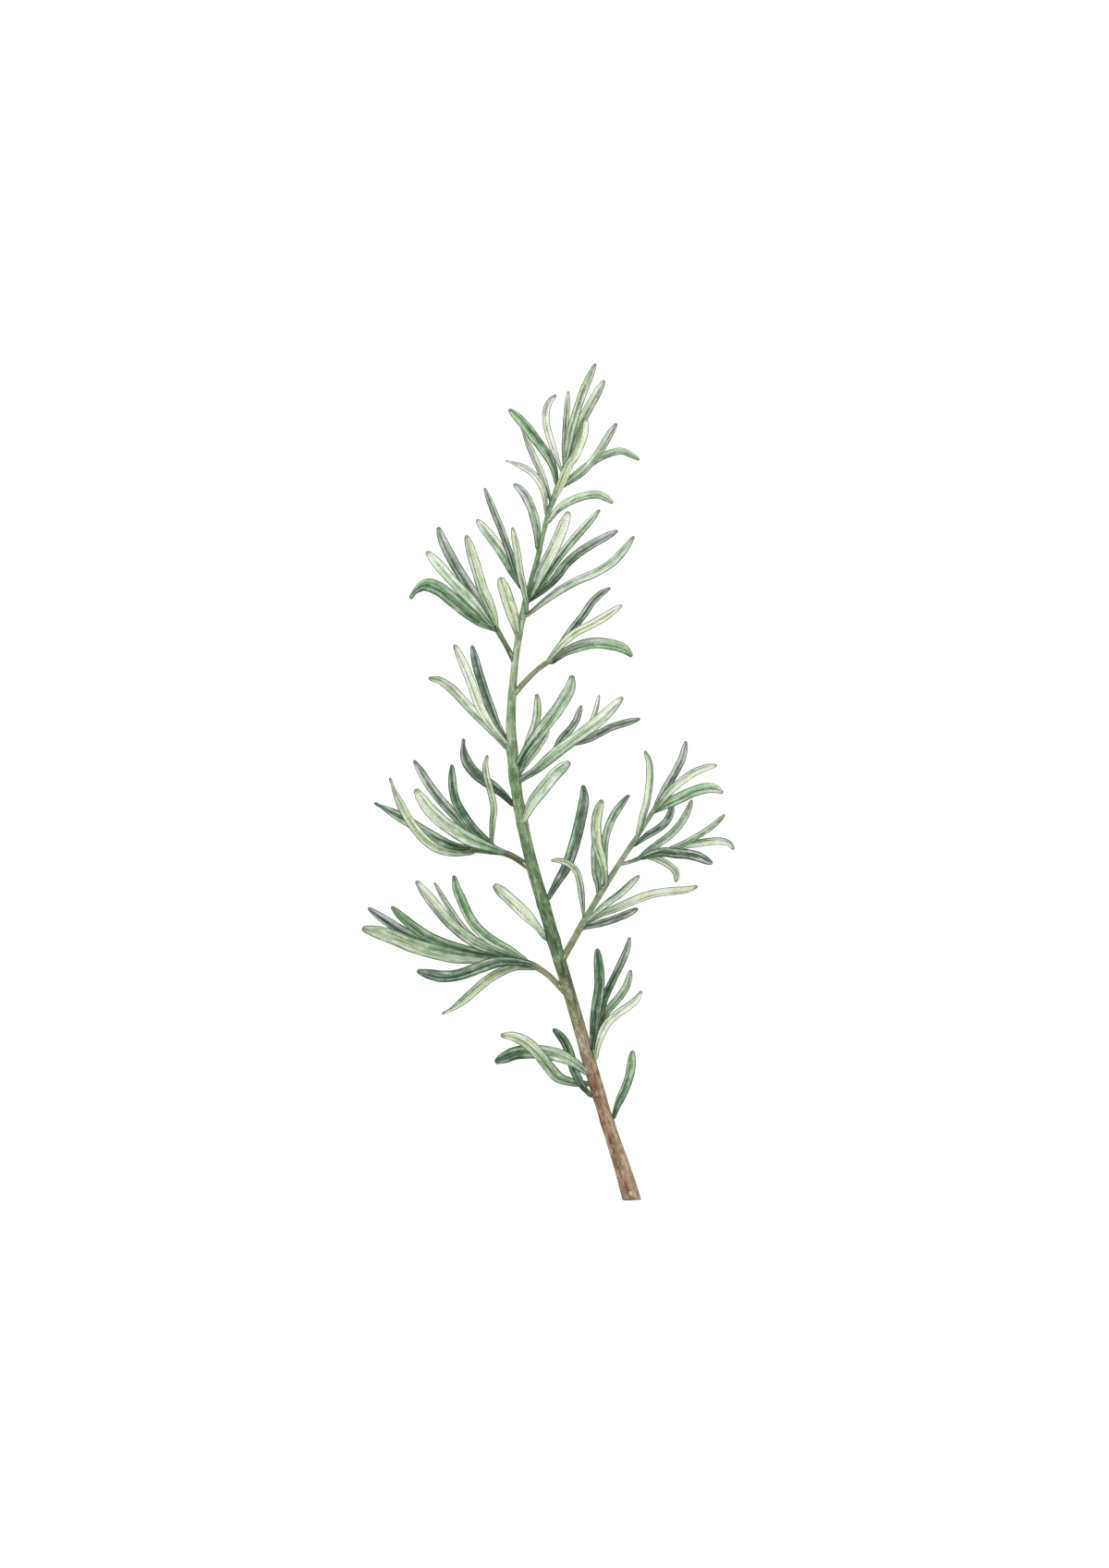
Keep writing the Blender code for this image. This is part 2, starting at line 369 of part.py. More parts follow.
def nearest_on(shoot, point):
    """The nearest point on a shoot's axis, the radius and the direction there."""
    at, _ = smooth(SHOOTS[shoot][2])
    shares = np.linspace(0, 1, 400)
    places = np.array([at(s) for s in shares])
    best = np.linalg.norm(places[:, :3] - np.array(point[:3]), axis=1).argmin()
    return Vector(places[best, :3]), float(places[best, 3]), direction(at, shares[best])


def stand_off(shoot, point):
    """The point, moved straight out from the shoot's axis if it is less than GAP from the shoot's surface."""
    axis, radius, along = nearest_on(shoot, point)
    outward = Vector(point) - axis
    if outward.length > radius + GAP:
        return point
    outward = (outward - outward.dot(along) * along).normalized()
    return tuple(axis + outward * (radius + GAP))


def half_width(width, share, pointed):
    """Half of a leaf's width at a share of its length: narrow foot, long blade, blunt or sharp tip."""
    rise = min(share / WIDEST_FROM, 1)
    blade = FOOT_SHARE + (1 - FOOT_SHARE) * rise * rise * (3 - 2 * rise)
    fall = max(share - WIDEST_TO, 0) / (1 - WIDEST_TO)
    tip = 1 - fall ** 1.5 if pointed else math.sqrt(1 - fall ** 2.6)
    return 0.5 * width * blade * tip


def loft(name, sections):
    """A closed mesh through sections of points in millimetres. A section of one point is a pole."""
    bm = bmesh.new()
    rings = [[bm.verts.new(Vector(p) * MM) for p in section] for section in sections]
    for lower, upper in zip(rings, rings[1:]):
        count = max(len(lower), len(upper))
        for i in range(count):
            j = (i + 1) % count
            corners = [ring[k % len(ring)] for ring, k in ((lower, i), (lower, j), (upper, j), (upper, i))]
            bm.faces.new(list(dict.fromkeys(corners)))
    for ring in (rings[0], rings[-1]):
        if len(ring) > 1:
            bm.faces.new(ring)
    bmesh.ops.recalc_face_normals(bm, faces=bm.faces)
    mesh = bpy.data.meshes.new(name)
    bm.to_mesh(mesh)
    bm.free()
    return mesh


def leaf_mesh(name, width, tone, points, shoot, pointed):
    """A leaf along its route. The blade faces up, and leans with or against the direction of its shoot."""
    at, _ = smooth(points)
    _, _, along = nearest_on(shoot, points[0])
    lean = -LEAN if tone in UNDERSIDE_UP else LEAN
    faces_to = Vector((0, 0, math.cos(lean))) + along * math.sin(lean)
    thickness = THICK_BASE + THICK_BY_WIDTH * width
    sections = [[Vector(points[0])]]
    for share in LEAF_RINGS:
        forward = direction(at, share)
        side = forward.cross(faces_to).normalized()
        up = side.cross(forward)
        wide = half_width(width, share, pointed)
        thick = 0.5 * thickness * (THIN_END + (1 - THIN_END) * wide / (0.5 * width))
        centre = Vector(at(share))
        sections.append([centre + side * wide * x + up * thick * z for x, z in LEAF_SECTION])
    sections.append([Vector(points[-1])])
    return loft(name, sections)


def round_mesh(name, points, sides, step, cut):
    """A round shoot along its route. Its tip is rounded, and so is its lower end unless it is cut."""
    at, length = smooth(points)
    end = points[0][3] / length
    count = max(2, round(length / step))
    stations = [(0, 1)] if cut else [(ROUND_INSET * end, ROUND_RADIUS)]
    stations += [(end + (1 - 2 * end) * k / count, 1) for k in range(count + 1)]
    stations += [(1 - ROUND_INSET * end, ROUND_RADIUS)]
    sections = [] if cut else [[Vector(points[0][:3])]]
    for share, rounding in stations:
        place = at(share)
        forward = direction(at, share)
        side = forward.cross(Vector((0, 0, 1))).normalized()
        up = side.cross(forward)
        turns = [2 * math.pi * k / sides for k in range(sides)]
        sections.append([Vector(place[:3]) + (side * math.cos(a) + up * math.sin(a)) * place[3] * rounding
                         for a in turns])
    sections.append([Vector(points[-1][:3])])
    return loft(name, sections)


def finish(name):
    """The material of a tone, made once."""
    if name in bpy.data.materials:
        return bpy.data.materials[name]
    colour, roughness = TONES[name]
    material = bpy.data.materials.new(name)
    material.use_nodes = True
    shader = material.node_tree.nodes["Principled BSDF"]
    shader.inputs["Base Color"].default_value = (*colour, 1)
    shader.inputs["Roughness"].default_value = roughness
    return material


def add(name, mesh, tone):
    """An object of the mesh, in the sprig's group and its tone."""
    obj = bpy.data.objects.new(name, mesh)
    bpy.context.scene.collection.objects.link(obj)
    obj.parent = bpy.data.objects["sprig"]
    mesh.materials.append(finish(tone))
    mesh.shade_smooth()
    mesh.set_sharp_from_angle(angle=math.radians(40))
    return obj


def grow_into(body, name, mesh):
    """Joins a leaf's mesh to a body that it starts in."""
    helper = bpy.data.objects.new(name, mesh)
    bpy.context.scene.collection.objects.link(helper)
    helper.parent = body.parent
    helper.hide_render = True
    helper.display_type = "WIRE"
    union = body.modifiers.new(name, "BOOLEAN")
    union.operation = "UNION"
    union.solver = "EXACT"
    union.object = helper


def leaving_point(shoot, inner, outer):
    """The first point on the line from inner to outer where a side shoot's foot is clear of its parent."""
    clearance = GAP + FOOT_CLEARANCE * inner[3]
    inner, outer = Vector(inner[:3]), Vector(outer[:3])
    for share in np.linspace(0, 1, 200):
        point = inner.lerp(outer, share)
        axis, radius, _ = nearest_on(shoot, point)
        if (point - axis).length >= radius + clearance:
            return tuple(point)
    raise ValueError(f"a shoot never leaves {shoot}")


def build_shoots():
    for name, (grows_from, tone, points) in SHOOTS.items():
        if grows_from is None:
            add(name, round_mesh(name, points, STEM_SIDES, STEM_STEP, cut=True), tone)
            continue
        foot = (*leaving_point(grows_from, points[0], points[1]), points[0][3])
        add(name, round_mesh(name, (foot, *points[1:]), SHOOT_SIDES, SHOOT_STEP, cut=False), tone)


def build_leaves():
    for name, (shoot, width, tone, points) in LEAVES.items():
        route = (stand_off(shoot, points[0]), *points[1:])
        add(name, leaf_mesh(name, width, tone, route, shoot, name in POINTED), tone)


def build_grown_leaves():
    for name, leaves in GROWN_LEAVES.items():
        body = bpy.data.objects.get(name)
        shoot = name if body else PAIRS_GROW_FROM
        foot = None if body else stand_off(shoot, leaves[0][2][0])
        for number, (width, tone, points) in enumerate(leaves, 1):
            part = name if body is None else f"{name}_leaf_{number}"
            mesh = leaf_mesh(part, width, tone, (foot or points[0], *points[1:]), shoot, False)
            if body is None:
                body = add(name, mesh, tone)
            else:
                grow_into(body, part, mesh)


def clear_scene():
    for obj in list(bpy.data.objects):
        bpy.data.objects.remove(obj, do_unlink=True)


def centre(sprig):
    """Moves the sprig so that the centre of its bounding box is above the origin."""
    bpy.context.view_layer.update()
    graph = bpy.context.evaluated_depsgraph_get()
    pieces = [obj.evaluated_get(graph) for obj in sprig.children if not obj.hide_render]
    corners = [piece.matrix_world @ Vector(corner) for piece in pieces for corner in piece.bound_box]
    corners = np.array(corners)
    middle = (corners.min(axis=0) + corners.max(axis=0)) / 2
    sprig.location = (-middle[0], -middle[1], 0)


def main():
    clear_scene()
    sprig = bpy.data.objects.new("sprig", None)
    bpy.context.scene.collection.objects.link(sprig)
    build_shoots()
    build_leaves()
    build_grown_leaves()
    centre(sprig)


main()
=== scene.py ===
# %% [markdown]
# # A cut sprig of rosemary
#
# A rosemary sprig is a woody stem with side shoots, and leaves like thick needles in pairs along them.
# Everything on it is one of two things: a round shoot, or a leaf.
# So this lesson builds one way to make bark and one way to make a leaf, and uses them ninety times.
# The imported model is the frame: it says where each leaf and shoot lies and how wide it is.

# %% Load the frame
import json
import math

import bmesh
import bpy
import numpy as np
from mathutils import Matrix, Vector


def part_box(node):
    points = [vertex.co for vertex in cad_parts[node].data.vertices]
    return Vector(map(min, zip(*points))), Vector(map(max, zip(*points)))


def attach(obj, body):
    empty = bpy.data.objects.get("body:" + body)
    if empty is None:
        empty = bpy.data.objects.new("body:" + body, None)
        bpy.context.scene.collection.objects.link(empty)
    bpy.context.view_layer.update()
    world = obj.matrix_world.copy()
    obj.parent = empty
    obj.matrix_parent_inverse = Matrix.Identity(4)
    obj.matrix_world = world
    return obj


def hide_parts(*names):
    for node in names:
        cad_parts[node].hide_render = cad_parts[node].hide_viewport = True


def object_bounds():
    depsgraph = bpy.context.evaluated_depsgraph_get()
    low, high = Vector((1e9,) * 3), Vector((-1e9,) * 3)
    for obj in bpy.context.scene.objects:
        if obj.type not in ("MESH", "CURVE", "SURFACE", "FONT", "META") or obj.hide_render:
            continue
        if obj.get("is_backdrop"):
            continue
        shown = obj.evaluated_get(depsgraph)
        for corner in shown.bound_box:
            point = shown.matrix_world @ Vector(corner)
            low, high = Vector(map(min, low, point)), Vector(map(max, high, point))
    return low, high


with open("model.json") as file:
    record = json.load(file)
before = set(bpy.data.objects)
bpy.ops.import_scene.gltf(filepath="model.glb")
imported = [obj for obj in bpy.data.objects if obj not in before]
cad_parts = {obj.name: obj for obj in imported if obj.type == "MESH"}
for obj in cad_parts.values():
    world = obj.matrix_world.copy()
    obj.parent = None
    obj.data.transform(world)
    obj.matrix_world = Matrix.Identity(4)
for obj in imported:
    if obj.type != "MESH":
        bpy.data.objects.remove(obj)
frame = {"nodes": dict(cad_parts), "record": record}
cad_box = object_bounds()
MM = 0.001
slot_of = {part["node"]: part["material_slot"] for part in frame["record"]["subparts"]}
size_mm = [round((high - low) / MM, 1) for low, high in zip(*cad_box)]
print(f"{len(frame['nodes'])} nodes in a box of {size_mm} mm")

# %% [markdown]
# ## The camera
#
# The sprig lies on a table and is seen from straight above, with its growing tip at the top.
# A long lens from well over two metres up leaves the view nearly free of perspective, so leaves near the
# table and leaves near the lens keep their real proportions. The focal length is worked out from the height
# of the view, so that nothing has to be tried and moved.

# %% Camera
CAMERA_HEIGHT = 2.4
VIEW_CENTRE = Vector((0.00173, -0.00013))
VIEW_HEIGHT = 0.42425           # of the view, where the sprig lies
SPRIG_LEVEL = 0.012             # the height of the middle of the sprig above the table
SENSOR = 36.0

lens = bpy.data.cameras.new("camera")
lens.sensor_fit = "AUTO"
lens.sensor_width = SENSOR
lens.lens = SENSOR * (CAMERA_HEIGHT - SPRIG_LEVEL) / VIEW_HEIGHT
lens.clip_start = 0.05
lens.clip_end = 20
camera = bpy.data.objects.new("camera", lens)
camera.location = (VIEW_CENTRE.x, VIEW_CENTRE.y, CAMERA_HEIGHT)
bpy.context.scene.collection.objects.link(camera)
bpy.context.scene.camera = camera
print(f"a lens of {lens.lens:.1f} mm")

# %% [markdown]
# ## Maths on sockets
#
# Both the shapes and the finishes below are node trees, and both are full of sums. Written out node by node,
# a sum is hard to read. This class wraps one socket, and gives it the usual operators, so that
# `1 - across * across` adds its own Math nodes. Vectors and colours go through Vector Math in the same way,
# because a Math node would turn a colour grey. Every node comes from one method, `Maker.add`.

# %% A socket with operators
def is_many(value):
    """Whether a value or a wire is a vector or a colour, and not one number."""
    return value.many if isinstance(value, Wire) else isinstance(value, tuple)


class Wire:
    """One output socket of a tree, which the usual operators can be used on."""

    def __init__(self, maker, socket):
        self.maker = maker
        self.socket = socket
        self.many = socket.type in ("VECTOR", "RGBA")

    def with_other(self, other, operation, swapped=False):
        """The result of one operation on this wire and another value."""
        first, second = (other, self) if swapped else (self, other)
        if not (self.many or is_many(other)):
            return self.maker.maths(operation, first, second)
        if operation == "MULTIPLY" and not (self.many and is_many(other)):
            vector, number = (self, other) if self.many else (other, self)
            return self.maker.add("ShaderNodeVectorMath", {"operation": "SCALE"},
                                  {0: vector, "Scale": number})
        return self.maker.vector(operation, first, second)

    def __neg__(self):
        return self * -1.0

    def __abs__(self):
        return self.maker.maths("ABSOLUTE", self)


def add_operator(name, operation):
    """Gives Wire an operator and its reflected form, so that mask - 1 and 1 - mask both work."""
    setattr(Wire, f"__{name}__", lambda wire, other: wire.with_other(other, operation))
    setattr(Wire, f"__r{name}__", lambda wire, other: wire.with_other(other, operation, swapped=True))


OPERATORS = {"add": "ADD", "sub": "SUBTRACT", "mul": "MULTIPLY", "truediv": "DIVIDE"}
for operator_name, node_operation in OPERATORS.items():
    add_operator(operator_name, node_operation)
print(f"wires can {', '.join(OPERATORS)}")

# %% A maker of nodes
class Maker:
    """Adds nodes to one tree."""

    def __init__(self, tree):
        self.tree = tree

    def add(self, kind, settings=None, inputs=None, output=0):
        """A new node: its settings first, then the values or links of its sockets. Gives one output."""
        node = self.tree.nodes.new(kind)
        for name, value in (settings or {}).items():
            setattr(node, name, value)
        for name, value in (inputs or {}).items():
            if isinstance(value, Wire):
                self.tree.links.new(value.socket, node.inputs[name])
            else:
                node.inputs[name].default_value = value
        outputs = [socket for socket in node.outputs if socket.enabled]
        if not outputs:
            return node
        return Wire(self, node.outputs[output] if isinstance(output, str) else outputs[output])

    def maths(self, operation, *values):
        return self.add("ShaderNodeMath", {"operation": operation}, dict(enumerate(values)))

    def vector(self, operation, *values):
        return self.add("ShaderNodeVectorMath", {"operation": operation}, dict(enumerate(values)))

    def spot(self, x, y, z):
        """A place from its three numbers."""
        return self.add("ShaderNodeCombineXYZ", inputs={"X": x, "Y": y, "Z": z})

    def noise(self, place, scale=1.0, detail=2.0, rough=0.5):
        """Soft random numbers round 0.5, which are the same on every run."""
        return self.add("ShaderNodeTexNoise", {"noise_dimensions": "3D"},
                        {"Vector": place, "Scale": scale, "Detail": detail, "Roughness": rough}, "Fac")

    def kept_between(self, value, low, high):
        return self.maths("MINIMUM", self.maths("MAXIMUM", value, low), high)

    def bell(self, value, width):
        """1 where the value is 0, falling to almost nothing at about twice the width."""
        share = value / width
        return self.maths("EXPONENT", -(share * share))

    def step(self, value, low, high):
        """0 below low and 1 above high, with a smooth rise between. High may be less than low."""
        settings = {"interpolation_type": "SMOOTHSTEP"}
        return self.add("ShaderNodeMapRange", settings, {"Value": value, "From Min": low, "From Max": high})


print("the maker of nodes is ready")

# %% [markdown]
# ## Reading a leaf from its solid
#
# In the frame, a leaf is a plain solid: rings of six corners from its foot to its tip. Those rings hold all
# that a finer leaf needs: the middle of each ring is a point of the leaf's route, its long diagonal is the
# leaf's width there, and the ring's flat side says which way the blade faces.
# Walking from corner to joined corner, starting at the tip, meets the rings one by one. So the finer leaf
# always fits the solid, and no measure is written down twice.

# %% Walk a solid, ring by ring
def welded(node):
    """The node's corners in millimetres, each listed once, and which corners each one is joined to."""
    mesh = frame["nodes"][node].data
    corners = np.array([vertex.co for vertex in mesh.vertices]) / MM
    places, number = np.unique(corners.round(3), axis=0, return_inverse=True)
    number = number.reshape(-1)
    joined = [set() for _ in places]
    for polygon in mesh.polygons:
        face = {int(number[corner]) for corner in polygon.vertices}
        for corner in face:
            joined[corner] |= face - {corner}
    return places, joined


def rings_from(pole, joined, sides):
    """The rings round a pole, as lists of corners, up to the first that isn't whole."""
    seen = {pole}
    front = {pole}
    rings = []
    while True:
        front = set().union(*(joined[corner] for corner in front)) - seen
        if len(front) != sides:
            return rings, front
        rings.append(sorted(front))
        seen |= front


LEAF_SIDES = 6
STEM_SIDES = 12
stem_places, stem_joined = welded("stem")
stem_pole = max((corner for corner, others in enumerate(stem_joined) if len(others) == STEM_SIDES),
                key=lambda corner: stem_places[corner][1])
stem_rings, _ = rings_from(stem_pole, stem_joined, STEM_SIDES)
print(f"{len(stem_rings)} rings along the stem")

# %% [markdown]
# ## Routes
#
# A route is a few points with a smooth curve through them. The stem's route is read from its rings.
# The side shoots have leaves grown into them, which hides most of their rings, so their routes are given
# here as points, with a radius at each, and are checked against the frame's boxes.
# The curve through the points is a Catmull-Rom curve: it passes through every point, and needs no handles.

# %% Smooth routes
FINE = 16                       # points of a curve between two of its knots
STEM_END_RADIUS = 0.8           # in millimetres
AXIS_POINTS = 300


def smooth(knots, shares):
    """Values at shares of the length of a smooth curve. The knots' first three columns are places."""
    knots = np.asarray(knots, float)
    ends = np.vstack([2 * knots[0] - knots[1], knots, 2 * knots[-1] - knots[-2]])
    fine = []
    for a, b, c, d in zip(ends, ends[1:], ends[2:], ends[3:]):
        t = np.linspace(0, 1, FINE, endpoint=False)[:, None]
        fine.append(0.5 * (2 * b + (c - a) * t + (2 * a - 5 * b + 4 * c - d) * t ** 2
                           + (3 * b - a - 3 * c + d) * t ** 3))
    fine = np.vstack(fine + [knots[-1:]])
    along = np.concatenate([[0], np.cumsum(np.linalg.norm(np.diff(fine[:, :3], axis=0), axis=1))])
    wanted = np.asarray(shares) * along[-1]
    return np.column_stack([np.interp(wanted, along, column) for column in fine.T]), along[-1]


def unit(vectors):
    return vectors / np.maximum(np.linalg.norm(vectors, axis=-1, keepdims=True), 1e-9)


stem_knots = [(*stem_places[stem_pole], STEM_END_RADIUS)]
for ring in stem_rings:
    middle = stem_places[ring].mean(axis=0)
    radius = np.linalg.norm(stem_places[ring] - middle, axis=1).mean()
    stem_knots.append((*middle, radius))
stem_knots = np.array(stem_knots[::-1])

ROUTES = {                      # x, y, z and radius in millimetres, from the foot to the end
    "stem": stem_knots,
    "growing_tip": ((4.0, 83.2, 14.4, 0.70), (4.6, 86.6, 14.4, 0.5)),
    "shoot_left_high": ((-9.2, 33.0, 13.3, 0.75), (-10.9, 36.5, 13.0, 0.7), (-12.9, 40.0, 12.8, 0.65),
                        (-14.3, 42.6, 12.7, 0.6)),
    "shoot_right_high": ((-9.6, 23.6, 13.2, 0.75), (-6.8, 26.9, 13.6, 0.75), (-4.0, 29.8, 13.9, 0.7),
                         (-1.6, 31.8, 14.0, 0.65), (0.6, 33.3, 14.0, 0.6)),
    "shoot_right_mid": ((-8.9, 0.6, 12.6, 0.6), (-4.0, 3.6, 11.8, 0.6), (1.5, 7.6, 11.2, 0.55),
                        (6.2, 10.9, 10.8, 0.5)),
    "shoot_left_low": ((-4.6, -23.2, 11.9, 0.85), (-8.4, -20.4, 11.5, 0.85), (-12.0, -18.8, 11.2, 0.75),
                       (-16.0, -18.5, 10.8, 0.62), (-20.8, -18.0, 10.2, 0.55)),
    "shoot_left_bottom": ((4.6, -56.6, 9.3, 0.85), (2.0, -53.8, 9.2, 0.8), (-1.0, -51.1, 9.0, 0.78),
                          (-5.0, -48.8, 8.6, 0.75), (-9.0, -47.7, 8.2, 0.7), (-13.2, -47.2, 8.0, 0.6)),
    "shoot_right_fork": ((3.2, -48.6, 10.1, 1.0), (6.0, -43.9, 10.3, 0.9), (9.2, -38.2, 10.5, 0.82),
                         (14.3, -29.5, 10.5, 0.75), (19.6, -21.2, 10.2, 0.7), (24.2, -14.2, 10.0, 0.62),
                         (28.8, -6.9, 10.0, 0.55)),
    "shoot_right_fork_side": ((19.2, -22.0, 10.2, 0.5), (22.5, -21.1, 9.9, 0.5), (26.0, -19.8, 9.7, 0.5),
                              (31.4, -18.4, 9.5, 0.45)),
    "shoot_right_low": ((10.8, -73.4, 7.1, 0.55), (12.8, -70.6, 7.5, 0.55), (13.8, -67.4, 7.8, 0.5)),
}

axes = {}                       # each shoot's axis, as many points with their radii
for shoot, knots in ROUTES.items():
    axes[shoot], length = smooth(knots, np.linspace(0, 1, AXIS_POINTS))
    low, high = (np.array(corner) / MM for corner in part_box(shoot))
    outer_half = axes[shoot][AXIS_POINTS // 2:, :3]
    inside = np.all((outer_half > low) & (outer_half < high))
    print(f"{shoot}: {length:.0f} mm long, its outer half inside its solid's box: {inside}")

# %% [markdown]
# ## The leaves' rails
#
# A rail is what a leaf is swept along: its route, with the blade's width and facing at every point.
# A leaf that stands alone in the frame stops just short of its shoot, because solids that touch can't be
# told apart there. Here its rail is carried on into the shoot, so that the leaf really grows out of it.
# Leaves that are grown together in the frame have lost the rings near their feet, and their rails are
# carried back to the shoot in the same way.

# %% From rings to rails
RUN_BACK = 1.5                  # how far a leaf's foot runs back along its shoot, in millimetres
NO_PINCH = 0.95                 # a ring's least width, as a share of the narrower of its two neighbours
NARROW_FOOT = 0.62              # a foot's half width at most, as a share of the blade's
LEAST_RINGS = 3                 # that make a leaf
STRAIGHT_ON = 4                 # how strongly a root straight ahead is preferred to a nearer one
FOOT_SHARE = 0.85               # a foot's half width inside its shoot, as a share of the shoot's radius
HIDDEN_FEET = {                 # feet that are grown in too far to be read: places and half widths
    ("shoot_left_low", 1): ((-15.4, -18.6, 10.8, 0.7), (-17.6, -17.6, 10.7, 0.8), (-21.0, -13.3, 10.8, 1.1)),
    ("shoot_left_low", 2): ((-11.6, -19.0, 11.2, 0.7), (-13.6, -18.2, 11.3, 0.8), (-17.3, -14.9, 11.4, 1.1),
                            (-21.0, -11.2, 11.7, 1.3)),
    ("leaf_pair_right_mid", 1): ((-8.2, 1.6, 12.8, 0.6), (-7.4, 4.8, 13.0, 0.9)),
    ("leaf_pair_right_mid", 2): ((-8.0, 2.2, 12.7, 0.6), (-5.8, 5.8, 12.5, 0.9)),
    ("leaf_left_bottom_6", 1): ((0.9, -42.9, 10.7, 0.85), (-0.9, -41.3, 10.65, 0.95)),
    ("growing_tip", 2): ((1.6, 76.6, 14.5, 0.6), (2.8, 79.4, 15.6, 1.0), (4.1, 82.2, 16.1, 1.2),
                         (5.0, 84.6, 16.1, 1.25)),
}


def ring_measures(corners):
    """The middle of a leaf's ring, half of its width, and the direction from its left to its right."""
    gaps = np.linalg.norm(corners[:, None] - corners[None], axis=2)
    first, second = np.unravel_index(gaps.argmax(), gaps.shape)
    return (corners[first] + corners[second]) / 2, gaps.max() / 2, unit(corners[second] - corners[first])


def leaf_stations(node):
    """For each leaf in a node: its stations from tip to foot, as middle, half width and left-to-right."""
    places, joined = welded(node)
    leaves = []
    for pole in range(len(places)):
        if len(joined[pole]) != LEAF_SIDES:
            continue
        rings, beyond = rings_from(pole, joined, LEAF_SIDES)
        if len(rings) < LEAST_RINGS:
            continue
        stations = [ring_measures(places[ring]) for ring in rings]
        foot = places[list(beyond)[0]] if len(beyond) == 1 else None
        leaves.append((places[pole], stations, foot))
    return leaves


def away_from_shoots(place):
    return min(np.linalg.norm(axis[:, :3] - place, axis=1).min() for axis in axes.values())


def root_of(place, heading=None):
    """The point that a leaf grows from, on a shoot's axis a little back along it, and the radius there."""
    best = None
    for axis in axes.values():
        offsets = axis[:, :3] - place
        reach = np.linalg.norm(offsets, axis=1)
        if heading is not None:
            reach = reach * (1 + STRAIGHT_ON * (1 - unit(offsets) @ heading))
        nearest = reach.argmin()
        if best is None or reach[nearest] < best[0]:
            behind = np.linalg.norm(axis[:nearest + 1, :3] - axis[nearest, :3], axis=1)
            best = (reach[nearest], axis[np.abs(behind - RUN_BACK).argmin()])
    return best[1][:3], best[1][3]


def feet_of(node, number, stations, foot):
    """How a leaf's rail goes on from its last ring into its shoot, as places and half widths."""
    if (node, number) in HIDDEN_FEET:
        return [(np.array(place), half) for *place, half in reversed(HIDDEN_FEET[node, number])]
    last, before = stations[-1][0], stations[-2][0]
    narrow = min(stations[-1][1], NARROW_FOOT * max(half for _, half, _ in stations))
    root, radius = root_of(last, unit(last - before)) if foot is None else root_of(foot)
    inside = (root, min(narrow, radius * FOOT_SHARE))
    return [inside] if foot is None else [(foot, narrow), inside]


def evened(knots):
    """The knots, with left to right the same way round all along, and with no pinched ring."""
    facing = [knots[0]]
    for place, half, across in knots[1:]:
        agrees = across @ facing[-1][2] > 0
        facing.append((place, half, across if agrees else -across))
    # A ring that another leaf is grown into reads too narrow, and would pinch the blade.
    for k in range(1, len(facing) - 1):
        place, half, across = facing[k]
        facing[k] = (place, max(half, NO_PINCH * min(facing[k - 1][1], facing[k + 1][1])), across)
    return facing


def leaf_rails(node):
    """The node's leaves, in order of their tips' x: knots of place, half width and left-to-right."""
    found = []
    for tip, stations, foot in leaf_stations(node):
        # A lone leaf is met twice, from its tip and from its foot. The walk from the tip is the one to keep.
        if foot is None or away_from_shoots(tip) >= away_from_shoots(foot):
            found.append((tip, stations, foot))
    found.sort(key=lambda leaf: leaf[0][0])
    node_rails = []
    for number, (tip, stations, foot) in enumerate(found, 1):
        # The ring next to the tip is nearly round, so its long diagonal doesn't say how the blade faces.
        stations[0] = (*stations[0][:2], stations[1][2])
        across = stations[-1][2]
        feet = [(place, half, across) for place, half in feet_of(node, number, stations, foot)]
        knots = [(tip, 0.0, stations[0][2])] + stations + feet
        node_rails.append(evened(knots[::-1]))
    return node_rails


rails = {}
for node in frame["nodes"]:
    if node != "stem":
        rails[node] = leaf_rails(node)
print(f"{sum(len(found) for found in rails.values())} leaves read:",
      {node: len(found) for node, found in rails.items() if len(found) > 1})

# %% [markdown]
# ## Colours of the leaves
#
# A rosemary leaf is dark green and leathery above, and covered in pale felt beneath. Many leaves of a sprig
# on a table lie with their underside up, so pale and dark leaves alternate.
# Each leaf gets a wash of colour in its left half and another in its right half, and each wash changes from
# the foot to the middle to the tip. The washes hold painted light as well as the leaves' own colours: the
# two halves differ partly as the lit and the shaded half of a folded blade, and the darkest washes near some
# feet are partly painted shade under other leaves. A short list of named washes is enough for all leaves and
# the bark.
# They are written as screen colours, from 0 to 255, because that is how a colour picker shows them.

# %% Washes
WASHES = {
    "ivory": (244, 248, 232),
    "cream": (227, 236, 207),
    "olive": (198, 211, 165),
    "mint": (185, 208, 176),
    "lilac": (188, 190, 190),
    "dove": (178, 187, 176),
    "celery": (168, 189, 156),
    "spring": (147, 191, 139),
    "grey": (152, 167, 148),
    "leaf": (129, 163, 121),
    "jade": (110, 144, 105),
    "slate": (112, 130, 114),
    "moss": (81, 115, 85),
    "pine": (55, 80, 61),
    "felt": (205, 214, 186),
    "umber": (148, 121, 92),
    "russet": (149, 114, 93),
    "tan": (175, 155, 127),
    "khaki": (152, 146, 116),
    "bronze": (145, 152, 112),
    "twig": (124, 132, 100),
    "loam": (94, 98, 78),
    "deep_green": (98, 122, 86),
    "bark_green": (115, 141, 101),
    "fern": (130, 160, 114),
    "sage": (152, 170, 138),
}


def linear(name):
    """A wash as the linear colour that shading works in."""
    share = np.array(WASHES[name]) / 255
    return np.where(share < 0.04045, share / 12.92, ((share + 0.055) / 1.055) ** 2.4)


def washed(names, shares):
    """The colour, with its alpha, at each share of a length, through washes evenly spaced along it."""
    stops = np.array([linear(name) for name in names.split()])
    places = np.linspace(0, 1, len(stops))
    columns = [np.interp(shares, places, column) for column in stops.T]
    return np.column_stack(columns + [np.ones(len(shares))])


print(f"{len(WASHES)} washes")

# %% [markdown]
# ## Which leaf has which colours
#
# Each line is one leaf: its finish, its left wash and its right wash from foot to tip, and where its midrib
# lies, from -1 at the left margin to 1 at the right. A shoot's own leaves are listed from left to right.
# A leaf that is alone in its node has the finish of the node's slot, so its line leaves the finish out.

